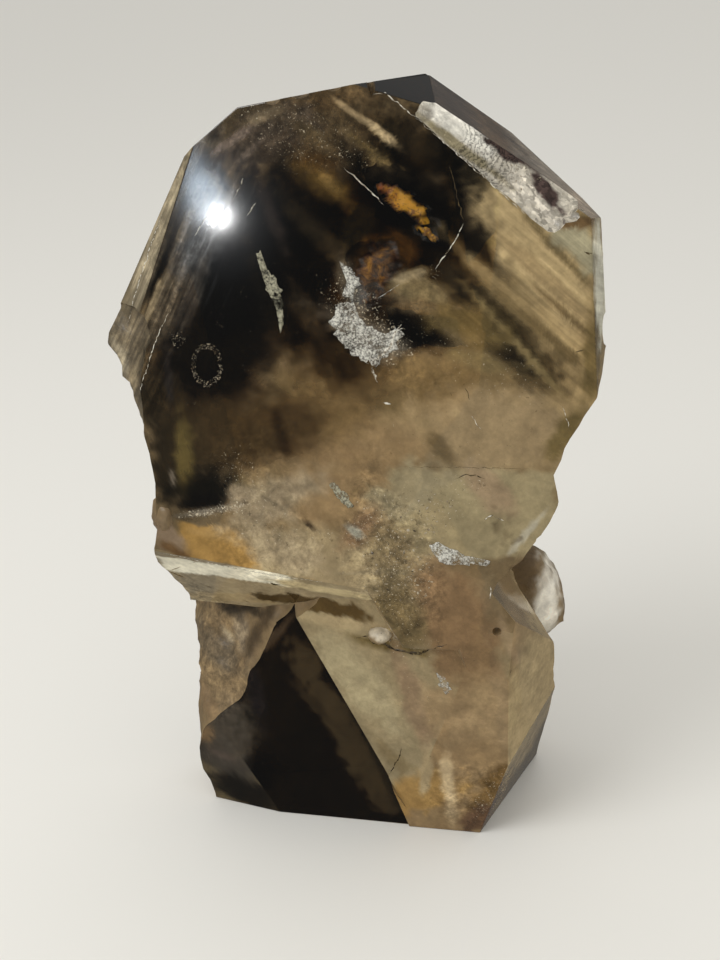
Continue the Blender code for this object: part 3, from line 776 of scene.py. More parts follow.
# strokes of texture: line, half width, softness, strength
textures = dict(
    streak=(
        ((500, 150, 580, 330), 75, 0.8, 1.0),
        ((330, 110, 480, 180), 60, 0.8, 0.55),
        ((440, 260, 590, 400), 45, 0.8, 0.8),
    ),
    # the comb runs out from below the lamp's hot spot: its light streaks are painted glints of scratches,
    # with streaks in the smoke
    comb=(
        ((200, 180, 140, 380), 42, 0.7, 1.0),
        ((245, 165, 180, 320), 30, 0.8, 0.8),
    ),
    mottle=(
        ((210, 170, 400, 105), 52, 0.8, 1.1),
        ((162, 330, 196, 200), 26, 0.9, 1.0),
        ((250, 470, 270, 560), 52, 0.7, 0.6),
        ((380, 520, 400, 592), 44, 0.8, 1.1),
        ((120, 340, 140, 390), 26, 0.5, 0.7),
        ((200, 600, 235, 700), 34, 0.6, 0.9),
        ((460, 90, 600, 205), 22, 0.8, 0.6),
        ((340, 200, 400, 290), 60, 0.9, 0.6),
        ((330, 300, 400, 360), 34, 0.7, 0.8),
        ((460, 800, 510, 770), 34, 0.7, 0.8),
        ((400, 700, 520, 700), 60, 0.9, 0.1),
    ),
    grit=(
        ((345, 540, 440, 500), 34, 0.8, 0.6),
        ((385, 520, 395, 600), 36, 0.7, 0.65),
        ((244, 474, 272, 545), 30, 0.9, 0.6),
        ((180, 516, 240, 507), 7, 0.6, 1.1),
        ((262, 115, 335, 150), 36, 0.9, 0.6),
        ((340, 295, 400, 355), 24, 0.6, 0.8),
        ((420, 330, 520, 380), 34, 0.9, 0.45),
        ((200, 220, 330, 360), 80, 0.9, 0.16),
        ((400, 640, 430, 760), 30, 0.8, 0.25),
        ((480, 810, 508, 770), 16, 0.6, 0.7),
        ((420, 450, 520, 450), 60, 0.9, 0.18),
        ((395, 640, 440, 650), 12, 0.7, 0.6),
    ),
)

edgeWander = dict(
    broad=9.0,          # mm; size of the bays in a zone's edge
    fine=2.2,
    broadReach=2.2,     # mm; how far they go in and out, at most
    fineReach=1.6,
    broadShare=0.45,    # and in parts of the zone's half width
    fineShare=0.35,
    square=0.4,         # how much of that a square zone has
)


def strokeMask(places, wander, line, half, soft, square=False):
    # 1 along a stroke laid on the stone, 0 away from it
    first, last = onStone(line[0], line[1]), onStone(line[2], line[3])
    middle = (first + last) / 2.0
    along = Vector((last.x - first.x, last.z - first.z))
    wide = half * dotSize(middle)
    tall = along.length / 2.0 + (0.0 if square else wide)
    along.normalize()
    east, up = places[:, 0] - middle.x, places[:, 2] - middle.z
    run = numpy.abs(east * along.x + up * along.y) / max(tall, wide)
    side = numpy.abs(up * along.x - east * along.y) / wide
    reach = numpy.maximum(run, side) if square else numpy.sqrt(run * run + side * side)
    small = min(tall, wide) / mm
    shift = wander[:, 0] * min(edgeWander["broadReach"], edgeWander["broadShare"] * small)
    shift += wander[:, 1] * min(edgeWander["fineReach"], edgeWander["fineShare"] * small)
    if square:
        shift *= edgeWander["square"]
    return 1.0 - eased(reach + shift / small, 1.0 - soft / 2.0, 1.0 + soft / 2.0)


def paintStone(mesh):
    # writes the fields tone, with the milky share as its alpha, and texture at each face's own corners
    places = numpy.empty(len(mesh.vertices) * 3)
    mesh.vertices.foreach_get("co", places)
    places = places.reshape(-1, 3)
    wander = numpy.array([
        (noise.fractal(Vector(place) / (edgeWander["broad"] * mm), 0.7, 2.0, 2),
         noise.fractal(Vector(place) / (edgeWander["fine"] * mm) + Vector((7.0, 1.0, 4.0)), 0.7, 2.0, 2))
        for place in places])
    corner = numpy.empty(len(mesh.loops), dtype=numpy.int64)
    mesh.loops.foreach_get("vertex_index", corner)
    kinds = numpy.empty(len(mesh.polygons))
    mesh.attributes["facet"].data.foreach_get("value", kinds)
    kinds = numpy.repeat(kinds.round().astype(int), 3)
    tone = numpy.zeros((len(corner), 3))
    milk = numpy.zeros(len(corner))
    for name, (share, colour) in faceLooks.items():
        tone[kinds == facets[name]] = colour
        milk[kinds == facets[name]] = share
    kept = numpy.ones(len(corner))
    for name, share in keeps.items():
        kept[kinds == facets[name]] = share
    for one in zones.values():
        mask = strokeMask(places, wander, one["line"], one["half"], one["soft"], one["square"])[corner]
        mask = mask * ((kinds == facets[one["on"]]) if one["on"] else kept)
        tinted = cleared = mask
        if one["tone"] is clearTone:
            # over an inclusion the milk goes before the tint does
            tinted, cleared = numpy.maximum(mask * 2.0 - 1.0, 0.0), numpy.minimum(mask * 2.0, 1.0)
        tone += (numpy.array(one["tone"]) - tone) * tinted[:, None]
        milk += (one["milk"] - milk) * cleared
    texture = numpy.zeros((len(corner), len(textures)))
    for column, name in enumerate(textures):
        for line, half, soft, strength in textures[name]:
            mask = strokeMask(places, wander, line, half, soft)[corner] * strength
            texture[:, column] = numpy.maximum(texture[:, column], mask)
    for name, values in (("tone", numpy.column_stack((tone, milk))), ("texture", texture)):
        layer = mesh.attributes.new(name, 'FLOAT_COLOR', 'CORNER')
        layer.data.foreach_set("color", values.ravel())


# the stone's material

quartz = dict(
    ior=1.544,
    absorbColour=(0.66, 0.52, 0.26),
    absorbDensity=9.0,          # per metre
    seeThrough=2.9,             # tint at each skin of the clear share, against the milky share's colour
    polishedRoughness=0.07,
    scratchRoughness=0.03,
    skinRoughness=0.34,
    frostGloss=0.14,            # how much smoother the frosty break is
    skinBump=0.12,              # mm
    grainColour=(0.56, 0.49, 0.36),
    blotColour=(0.045, 0.03, 0.015),
    blotShare=0.45,
)

streakTurn = 42.0               # degrees; the growth streaks run down to the right

# noise patterns: size in mm, seed, turn in degrees, detail, roughness, twist
patterns = dict(
    clouds=dict(size=6.0, seed=2.0, detail=5.0, rough=0.6),
    middle=dict(size=2.6, seed=11.0, detail=6.0, rough=0.7, twist=0.4),
    fine=dict(size=0.9, seed=3.0, rough=0.65),
    streaks=dict(size=(26.0, 30.0, 1.7), seed=4.0, turn=streakTurn, detail=5.0, rough=0.65),
    # the comb's light streaks are painted glints of scratches, with streaks in the smoke
    comb=dict(size=(14.0, 20.0, 0.9), seed=5.0, turn=-62.0, rough=0.6),
    speckle=dict(size=0.42, seed=6.0, detail=4.0, rough=0.75, twist=0.3),
    pocks=dict(size=1.0, seed=9.0, rough=0.65),
    skin=dict(size=0.55, seed=8.0, detail=2.0, rough=0.6),
)

# how far each pattern lightens and darkens the smoke, in stops
stopsOf = dict(
    clouds=1.5,
    middle=1.2,
    mottledMiddle=3.6,          # added where the stone is mottled
    fine=0.5,
    mottledFine=1.6,
    streaks=2.6,
    # the comb lightens streaks as painted glints of scratches, and streaks the smoke
    comb=6.0,
    # the frost's crumbs and arcs paint glints and shade of its broken surface
    frostCrumbs=1.3,
    frostArcs=1.4,
)


def frostStops(paint, middle, fine):
    # painted shade in the troughs of the shell-like arcs, and crumbs painted in many shades as the glints and
    # shade of small facets
    centre = [part * mm for part in frostArcs["centre"]]
    away = paint.node("ShaderNodeVectorMath", {"operation": 'DISTANCE'}, (paint.where, centre), 1)
    reach = away * (1.0 / mm)
    arcs = (reach + middle * 5.0 + fine * 0.8) * (math.tau / frostArcs["step"])
    first, last = frostArcs["first"], frostArcs["last"]
    arcs = arcs.math('SINE').rise(-0.1, -0.9) * reach.rise(first, first + frostArcs["fade"])
    arcs = arcs * reach.rise(last + 4.0, last)
    shade = paint.cells(0.8, 17.0)[0] - 0.5
    crumbs = shade * reach.rise(frostArcs["crumbs"] - frostArcs["crumbFade"], frostArcs["crumbs"])
    return crumbs * stopsOf["frostCrumbs"] - arcs * stopsOf["frostArcs"]


def quartzMaterial():
    paint = Paint("smoky quartz")
    tone = paint.field("tone", "Color")
    milk = paint.field("tone", "Alpha")
    streaked = paint.node("ShaderNodeSeparateColor", {}, (paint.field("texture", "Color"),))
    combedWithGlints, mottled = streaked.output(1), streaked.output(2)
    gritty = paint.field("texture", "Alpha")
    kind = paint.field("facet")
    broken = kind.math('LESS_THAN', facets["patch"] + 0.5) * kind.math('GREATER_THAN', facets["skin"] - 0.5)
    frost = kind.math('COMPARE', float(facets["frost"]), 0.5)
    clouds, middle, fine, streaks, comb = [
        paint.cloud(**patterns[name]) - 0.5 for name in ("clouds", "middle", "fine", "streaks", "comb")]
    stops = clouds * stopsOf["clouds"]
    stops = stops + middle * (mottled * stopsOf["mottledMiddle"] + stopsOf["middle"])
    stops = stops + fine * (mottled * stopsOf["mottledFine"] + stopsOf["fine"])
    # the comb adds painted glints of scratches near the hot spot, and streaks in the smoke
    stops = stops + streaks * streaked * stopsOf["streaks"] + comb * combedWithGlints * stopsOf["comb"]
    stops = stops + frost * frostStops(paint, middle, fine)
    hue = paint.scale(tone, 2.0 ** stops)
    # pale grains and dark blots where the stone is gritty
    speckle, pocks = paint.cloud(**patterns["speckle"]), paint.cloud(**patterns["pocks"])
    somewhatGritty = gritty.rise(0.02, 0.2)
    grain = (speckle + gritty * 0.17).rise(0.71, 0.76) * somewhatGritty
    blot = (pocks + gritty * 0.13).rise(0.70, 0.76) * somewhatGritty
    hue = paint.blend(blot * quartz["blotShare"], hue, quartz["blotColour"])
    hue = paint.blend(grain, hue, paint.scale(quartz["grainColour"], (pocks - 0.5) * 2.4 + 0.85))
    milky = milk.most(grain * 0.95).least(1.0)
    scratched = (comb.rise(0.06, 0.16) * combedWithGlints + fine.rise(0.14, 0.24) * 0.5).least(1.0)
    roughness = broken * quartz["skinRoughness"] + quartz["polishedRoughness"] - frost * quartz["frostGloss"]
    roughness = roughness + scratched * quartz["scratchRoughness"]
    bump = paint.bump(quartz["skinBump"], paint.cloud(**patterns["skin"]) * broken)
    look = {"Roughness": roughness, "IOR": quartz["ior"], "Normal": bump}
    # light crosses the skin twice, so a clear tint is squared
    tint = paint.scale(hue, quartz["seeThrough"])
    tint = paint.node("ShaderNodeVectorMath", {"operation": 'MULTIPLY'}, (tint, tint))
    clear = paint.surface({"Base Color": tint, "Transmission Weight": 1.0, **look})
    cloudy = paint.surface({"Base Color": hue, **look})
    both = paint.node("ShaderNodeMixShader", {}, (milky, clear, cloudy))
    absorb = paint.node("ShaderNodeVolumeAbsorption", {}, {
        "Color": quartz["absorbColour"], "Density": quartz["absorbDensity"]})
    return paint.finish(both, absorb)


stone = dressStone()
paintStone(stone.data)
stone.data.materials.append(quartzMaterial())
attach(stone, "root")
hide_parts("smoky_quartz")
print("stone dressed")


# sheets, threads and flakes inside the stone

def upright(place):
    return Vector((place.x, place.z))


def stepped(spots, step):
    # upright places along a line of spots, a step apart; mm
    path = []
    for here, there in zip(spots, spots[1:]):
        first, last = upright(here), upright(there)
        count = max(1, round((last - first).length / (step * mm)))
        path += [first.lerp(last, turn / count) for turn in range(count)]
    return path


def uneven(place):
    return noise.fractal(place, 0.8, 2.0, 3)


def raggedRim(outline, step, rag, seed):
    # the outline laid on the stone, closely spaced and made uneven; metres, upright plane
    spots = [onStone(*place) for place in outline]
    rim = stepped(spots + spots[:1], step)
    centre = sum(rim, Vector((0.0, 0.0))) / len(rim)
    return [
        place + (place - centre).normalized() * rag * mm
        * uneven(Vector((place.x, place.y, 0.0)) / (2.5 * step * mm) + Vector((seed, 0.0, 0.0)))
        for place in rim]


def flatSheet(rim, longest, most):
    # a flat face inside a rim, split until no edge is longer than longest; metres
    flat = bmesh.new()
    flat.faces.new([flat.verts.new((place.x, place.y, 0.0)) for place in rim])
    bmesh.ops.triangulate(flat, faces=flat.faces[:])
    for turn in range(most):
        longEdges = [edge for edge in flat.edges if edge.calc_length() > longest]
        if not longEdges:
            break
        bmesh.ops.subdivide_edges(flat, edges=longEdges, cuts=1)
        bmesh.ops.triangulate(flat, faces=[face for face in flat.faces if len(face.verts) > 3])
    return flat


def sheetParts(outline, depth, thick, ruffle, step, rag, seed):
    # points and faces of a thin closed lens that follows the front skin at a depth; mm
    flat = flatSheet(raggedRim(outline, step, rag, seed), 1.6 * step * mm, 7)
    flat.verts.index_update()
    count = len(flat.verts)
    front, back = [], []
    for vertex in flat.verts:
        x, z = vertex.co.x, vertex.co.y
        lump = uneven(Vector((x, z, seed * mm)) / (1.3 * mm))
        skin = skinAt(x, z)
        near = skin.y + (depth + ruffle * lump) * mm
        if depth > 0.0:
            near = max(near, skin.y + 0.02 * mm)
        body = thick * mm * (0.08 if vertex.is_boundary else 1.0 + 0.5 * lump)
        front.append((x, near, z))
        back.append((x, near + body, z))
    faces = [tuple(vertex.index for vertex in face.verts) for face in flat.faces]
    faces += [tuple(count + index for index in reversed(face)) for face in faces]
    for edge in flat.edges:
        if edge.is_boundary:
            first, last = edge.verts[0].index, edge.verts[1].index
            faces.append((first, last, count + last, count + first))
    flat.free()
    return front + back, faces


def threadParts(line, width, seed):
    # points and faces of a thin jagged crack along a line on the front skin; mm
    spots = [onStone(*place) for place in line]
    path = stepped(spots, crackShape["step"]) + [upright(spots[-1])]
    points, faces = [], []
    for turn, place in enumerate(path):
        before, after = path[max(turn - 1, 0)], path[min(turn + 1, len(path) - 1)]
        side = Vector((before.y - after.y, after.x - before.x)).normalized()
        at = Vector((place.x, place.y, seed * mm)) / (crackShape["jagSize"] * mm)
        place = place + side * crackShape["jag"] * mm * uneven(at)
        share = turn / (len(path) - 1)
        half = width / 2.0 * mm * (0.12 + min(share, 1.0 - share, 0.22) * 4.0)
        half *= max(0.25, 1.0 + 1.1 * noise.noise(at * 1.7))
        skin = skinAt(place.x, place.y).y
        for across, back in crackShape["section"]:
            points.append((
                place.x + side.x * across * half, skin + back * half, place.y + side.y * across * half))
    for turn in range(len(path) - 1):
        ring = turn * 4
        for corner in range(4):
            beside = (corner + 1) % 4
            faces.append((ring + corner, ring + beside, ring + 4 + beside, ring + 4 + corner))
    faces += [(3, 2, 1, 0), tuple(len(points) - 4 + corner for corner in range(4))]
    return points, faces


def gather(name, parts, material):
    # one closed piece from several lists of points and faces
    points, faces = [], []
    for morePoints, moreFaces in parts:
        start = len(points)
        points += morePoints
        faces += [tuple(start + index for index in face) for face in moreFaces]
    mesh = bpy.data.meshes.new(name)
    mesh.from_pydata(points, [], faces)
    shape = bmesh.new()
    shape.from_mesh(mesh)
    bmesh.ops.recalc_face_normals(shape, faces=shape.faces[:])
    shape.to_mesh(mesh)
    shape.free()
    mesh.materials.append(material)
    mesh.shade_smooth()
    piece = bpy.data.objects.new(name, mesh)
    bpy.context.scene.collection.objects.link(piece)
    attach(piece, "root")
    print(name, "made:", len(faces), "faces")
    return piece


# iron-stained inclusions; a sheet's depth, thickness, ruffle, step and raggedness are mm
amber = dict(
    outlines=(
        ((377, 182), (392, 181), (408, 189), (417, 201), (429, 209), (428, 223), (416, 228), (402, 216),
         (386, 208), (378, 196)),
        ((417, 226), (428, 228), (440, 240), (436, 243), (424, 236)),
        ((358, 526), (366, 526), (367, 531), (359, 532)),
    ),
    sheet=dict(depth=0.35, thick=0.7, ruffle=0.4, step=0.5, rag=0.9),
    red=(0.50, 0.105, 0.004),
    gold=(0.78, 0.40, 0.010),
    brown=(0.16, 0.045, 0.004),
    redEnd=5.0,                 # mm across the stone, where the red goes over into gold
    goldEnd=11.0,
    goldWander=14.0,            # mm that the change wanders
    patches=dict(size=(2.6, 3.0, 2.6), seed=2.0, turn=35.0, detail=4.0, rough=0.65, twist=0.6),
    grains=dict(size=0.5, seed=5.0),
)


def amberMaterial():
    paint = Paint("iron amber")
    patches, grains = paint.cloud(**amber["patches"]), paint.cloud(**amber["grains"])
    across = paint.node("ShaderNodeSeparateXYZ", {}, (paint.where,))
    golden = across + (patches - 0.5) * (amber["goldWander"] * mm)
    hue = paint.blend(golden.rise(amber["redEnd"] * mm, amber["goldEnd"] * mm), amber["red"], amber["gold"])
    hue = paint.blend((grains * 0.5 + patches * 0.5).rise(0.53, 0.42) * 0.8, hue, amber["brown"])
    return paint.finish(paint.surface({
        "Base Color": hue, "Roughness": grains * 0.3 + 0.25, "IOR": quartz["ior"]}))


# the darker amber behind them
deepAmber = dict(
    outlines=(((346, 254), (366, 240), (400, 238), (408, 268), (398, 302), (370, 310), (344, 300)),),
    sheet=dict(depth=0.35, thick=0.8, ruffle=0.4, step=0.6, rag=1.2),
    soot=(0.030, 0.015, 0.004),
    umber=(0.17, 0.066, 0.006),
    orange=(0.56, 0.25, 0.012),
    roughness=0.4,
    patches=dict(size=(2.6, 3.0, 2.6), seed=6.0, turn=20.0, detail=5.0, rough=0.7, twist=0.8),
)


def deepAmberMaterial():
    paint = Paint("brown amber")
    patches = paint.cloud(**deepAmber["patches"])
    hue = paint.blend(patches.rise(0.38, 0.52), deepAmber["soot"], deepAmber["umber"])
    hue = paint.blend(patches.rise(0.48, 0.66), hue, deepAmber["orange"])
    return paint.finish(paint.surface({
        "Base Color": hue, "Roughness": deepAmber["roughness"], "IOR": quartz["ior"]}))


# frosty veils: partly healed breaks that scatter light
veils = dict(
    frost=((330, 322), (338, 304), (352, 299), (359, 316), (372, 330), (388, 334), (397, 326), (402, 332),
           (396, 348), (384, 360), (374, 366), (356, 356), (342, 347)),
    crumbs=((340, 262), (352, 268), (358, 284), (352, 300), (342, 298), (346, 282)),
    second=((429, 545), (440, 543), (455, 551), (470, 556), (489, 561), (486, 566), (470, 564),
            (452, 566), (438, 562)),
    lowVeil=((436, 672), (446, 678), (452, 690), (446, 695), (440, 684)),
)

feathers = dict(
    feather=((329, 485), (334, 482), (343, 490), (353, 505), (348, 508), (338, 498)),
    streak=((256, 253), (261, 252), (267, 268), (276, 280), (282, 298), (284, 326), (280, 332),
            (276, 308), (267, 290), (261, 272)),
)

veilLook = dict(
    white=(0.70, 0.68, 0.60),
    green=(0.40, 0.38, 0.27),
    whiteSheet=dict(depth=-0.05, thick=0.3, ruffle=0.0, step=0.5, rag=0.9),
    greenSheet=dict(depth=-0.05, thick=0.25, ruffle=0.0, step=0.45, rag=0.7),
    shade=0.40,                 # of its colour between the grains
    roughness=0.3,
    bump=0.3,                   # mm
)


def veilMaterial(name, colour, least, grainSize, seed):
    # least: the cover below which nothing shows
    paint = Paint(name)
    broad = paint.cloud(2.4, seed, detail=4.0, rough=0.65, twist=0.5)
    grains = paint.cloud(grainSize, seed + 3.0, rough=0.7)
    cover = (broad * 0.75 + grains * 0.45).rise(least, least + 0.30)
    hue = paint.blend(grains.rise(0.36, 0.62), paint.scale(colour, veilLook["shade"]), colour)
    bump = paint.bump(veilLook["bump"], grains)
    return paint.finish(paint.surface({
        "Base Color": hue, "Roughness": veilLook["roughness"], "IOR": quartz["ior"],
        "Alpha": cover, "Normal": bump}))


# fine open cracks, seen as bright or dark lines, with painted highlights along some edges and a painted
# shadow line in a crease: line and width in mm
cracks_and_painted_lines = dict(
    bright=(
        (((344, 167), (356, 178), (369, 190), (384, 205)), 0.20),
        (((464, 224), (456, 238), (448, 251), (441, 261), (435, 269)), 0.20),
        (((401, 324), (395, 334), (391, 346), (386, 352), (376, 360), (367, 363)), 0.50),
        (((371, 361), (373, 371), (378, 382)), 0.42),
        (((366, 350), (370, 356), (371, 362)), 0.26),
        (((386, 353), (394, 349), (400, 342)), 0.18),
        (((395, 334), (399, 330), (404, 328)), 0.16),
        # this line and the next follow the edge above the frost: painted highlights of that edge
        (((416, 118), (440, 139), (470, 165), (500, 191), (531, 219)), 0.13),
        (((372, 88), (385, 93), (400, 104), (416, 118)), 0.18),
        (((171, 309), (160, 330), (150, 358), (139, 394)), 0.14),
        (((163, 214), (151, 245), (138, 285), (126, 328)), 0.18),
        (((194, 236), (202, 224), (208, 214)), 0.12),
        (((236, 196), (241, 186), (243, 178)), 0.16),
        (((247, 216), (252, 208), (256, 203)), 0.16),
        (((483, 520), (493, 516), (504, 521)), 0.22),
        (((472, 416), (477, 425), (481, 429)), 0.10),
        (((490, 584), (491, 592), (490, 599)), 0.22),
        (((378, 299), (390, 290), (400, 284)), 0.08),
        (((560, 402), (566, 416), (570, 430)), 0.10),
        (((383, 403), (391, 404)), 0.3),
        # along the ledge's upper edge: a painted highlight of that edge
        (((163, 553), (200, 561), (250, 571), (291, 578), (322, 582)), 0.15),
    ),
    dark=(
        (((450, 166), (454, 182), (459, 203), (463, 222)), 0.22),
        (((389, 774), (394, 766), (399, 757), (402, 748)), 0.3),
        # a dark thread along the same crease under the head's overhang: a painted shadow line
        (((354, 638), (372, 642), (396, 650), (420, 654), (436, 647), (447, 645)), 0.55),
        (((456, 479), (464, 475), (476, 475), (485, 479)), 0.18),
        (((397, 467), (440, 467), (490, 468), (531, 469)), 0.07),
        (((575, 352), (584, 350)), 0.35),
        (((465, 388), (470, 400)), 0.12),
        (((450, 393), (451, 396)), 0.5),
        (((502, 424), (503, 427)), 0.4),
        (((507, 446), (511, 447)), 0.4),
        (((584, 252), (592, 254)), 0.3),
        (((270, 583), (280, 585)), 0.45),
    ),
)


crackShape = dict(
    step=0.5,                   # mm
    jag=0.25,                   # mm to either side
    jagSize=0.9,
    section=((-1.0, 0.0), (0.0, -0.35), (1.0, 0.0), (0.0, 0.8)),    # across and back, in half widths
)

# what fills the cracks and colours the painted lines, and its grains
crackColours = dict(
    bright=((0.70, 0.67, 0.58), (0.24, 0.20, 0.14)),
    dark=((0.030, 0.020, 0.010), (0.10, 0.07, 0.03)),
)


def crackMaterial(look):
    colour, grainColour = crackColours[look]
    paint = Paint(look + " crack")
    grains = paint.cloud(0.7, 4.0)
    hue = paint.blend(grains.rise(0.42, 0.6), grainColour, colour)
    return paint.finish(paint.surface({
        "Base Color": hue, "Roughness": 0.25, "IOR": quartz["ior"], "Alpha": grains.rise(0.34, 0.46)}))


# sheets of smoke that follow the crystal's growth: outline and depth in mm
smoke = dict(
    bands=(
        (((455, 120), (490, 150), (500, 240), (470, 262), (455, 190)), 3.5),
        (((475, 290), (500, 300), (552, 380), (530, 390), (492, 342)), 4.0),
        (((385, 310), (455, 322), (470, 350), (400, 352)), 3.0),
        (((362, 172), (398, 168), (448, 205), (452, 252), (415, 246), (372, 214)), 2.2),
    ),
    sheet=dict(thick=0.6, ruffle=0.6, step=1.2, rag=1.5),
    colour=(0.016, 0.011, 0.004),
    streak=(0.055, 0.038, 0.016),
    streaks=dict(size=(18.0, 20.0, 1.6), seed=12.0, turn=streakTurn, detail=4.0, rough=0.6),
    clouds=dict(size=5.0, seed=14.0, detail=4.0),
    leastCover=0.8,
    roughness=0.8,
)


def smokeMaterial():
    paint = Paint("smoke sheet")
    streaks, clouds = paint.cloud(**smoke["streaks"]), paint.cloud(**smoke["clouds"])
    cover = (streaks * 0.6 + clouds * 0.5).rise(0.48, 0.66)
    cover = cover * (1.0 - smoke["leastCover"]) + smoke["leastCover"]
    return paint.finish(paint.surface({
        "Base Color": paint.blend(streaks, smoke["colour"], smoke["streak"]),
        "Roughness": smoke["roughness"], "Alpha": cover}))


# grains and flakes: outline, number to the square mm, smallest and largest half width, spread in depth, seed
flakes = dict(
    granular=(((352, 520), (392, 505), (440, 492), (458, 510), (440, 545), (428, 598), (378, 604), (366, 560),
               (344, 545)), 1.6, 0.1, 0.46, 0.10, 1),
    granularCore=(((384, 535), (440, 520), (430, 570), (410, 600), (382, 590)), 2.0, 0.1, 0.46, 0.10, 2),
    salt=(((214, 455), (244, 462), (262, 500), (290, 520), (296, 560), (262, 566), (240, 535), (226, 500)),
          0.9, 0.06, 0.28, 0.12, 3),
    border=(((176, 512), (205, 508), (238, 500), (242, 510), (210, 520), (178, 522)),
            9.0, 0.08, 0.3, 0.12, 4),
    chainOne=(((293, 114), (300, 113), (322, 124), (333, 129), (330, 134), (308, 127)),
              3.0, 0.07, 0.24, 0.10, 5),
    chainTwo=(((282, 134), (290, 134), (296, 142), (308, 146), (306, 154), (294, 148), (284, 142)),
              4.0, 0.07, 0.26, 0.10, 6),
    chainThree=(((280, 159), (286, 160), (300, 178), (312, 192), (306, 196), (290, 176)),
                2.6, 0.06, 0.2, 0.10, 7),
    chainFour=(((252, 174), (260, 178), (268, 196), (260, 198)), 1.6, 0.06, 0.16, 0.10, 8),
    chainFive=(((300, 204), (306, 222), (330, 256), (320, 256), (300, 226)), 1.0, 0.05, 0.16, 0.10, 9),
    clusterOne=(((169, 333), (182, 331), (186, 342), (178, 348), (170, 344)), 14.0, 0.09, 0.34, 0.12, 10),
    clusterTwo=(((214, 316), (224, 316), (226, 328), (216, 327)), 8.0, 0.07, 0.22, 0.10, 11),
    scribble=(((240, 362), (250, 364), (264, 378), (264, 388), (254, 382), (244, 372)),
              8.0, 0.06, 0.22, 0.10, 12),
    veilEdge=(((334, 318), (350, 300), (362, 320), (398, 328), (392, 356), (372, 384), (350, 360)),
              2.5, 0.05, 0.20, 0.12, 13),
    deepEdge=(((338, 258), (352, 262), (356, 290), (344, 300), (338, 280)), 5.0, 0.07, 0.26, 0.12, 14),
    dust=(((170, 200), (300, 100), (440, 120), (560, 240), (590, 360), (520, 450), (300, 500), (180, 440)),
          0.09, 0.03, 0.11, 0.10, 15),
    blackDust=(((262, 650), (290, 620), (330, 700), (370, 810), (230, 790), (215, 735)),
               0.10, 0.04, 0.12, 0.10, 25),
    middle=(((400, 330), (500, 340), (560, 400), (540, 460), (300, 470), (300, 420)),
            0.1, 0.03, 0.12, 0.10, 16),
    creaseGrains=(((388, 632), (420, 630), (442, 640), (420, 662), (392, 654)), 4.0, 0.08, 0.30, 0.12, 17),
    lowMiddle=(((395, 656), (430, 670), (440, 720), (410, 760), (392, 720)), 0.9, 0.06, 0.24, 0.10, 18),
    dirtGrains=(((474, 800), (482, 780), (505, 768), (512, 775), (498, 806), (482, 818)),
                4.5, 0.07, 0.26, 0.10, 19),
    ledgeGrains=(((318, 566), (350, 572), (350, 584), (322, 580)), 3.0, 0.08, 0.30, 0.10, 20),
    crackFoot=(((428, 262), (440, 262), (444, 278), (432, 280)), 9.0, 0.08, 0.26, 0.10, 21),
    frostGlints=(((500, 160), (536, 165), (548, 186), (522, 190), (503, 176)), 1.5, 0.08, 0.28, 0.10, 22),
    leftMarks=(((184, 402), (198, 400), (198, 405), (186, 407)), 7.0, 0.08, 0.24, 0.10, 23),
    rootGrains=(((215, 455), (236, 470), (246, 500), (232, 505), (214, 480)), 0.5, 0.06, 0.2, 0.10, 24),
)

# a ring of them: its centre and half widths in dots, and what follows an outline above
flakeRing = dict(
    centre=(207.0, 365.0),
    outer=(16.0, 22.0),
    inner=(11.5, 16.0),
    sweep=350.0,                    # degrees
    count=28,
    scatter=(40.0, 0.08, 0.32, 0.10, 30),
)

flakeLook = dict(
    pale=(0.40, 0.34, 0.24),
    tan=(0.19, 0.145, 0.085),
    dark=(0.05, 0.034, 0.018),
    cell=0.6,                       # mm; size of a patch of one colour
    narrowest=(0.3, 0.25, 0.2),     # a flake's sides, against its size
    widest=(1.5, 0.8, 0.5),
    lean=0.5,                       # radians off the skin, at most
    smallOnes=3.0,                  # the higher, the more flakes are small
    carrierStep=2.5,                # mm
)


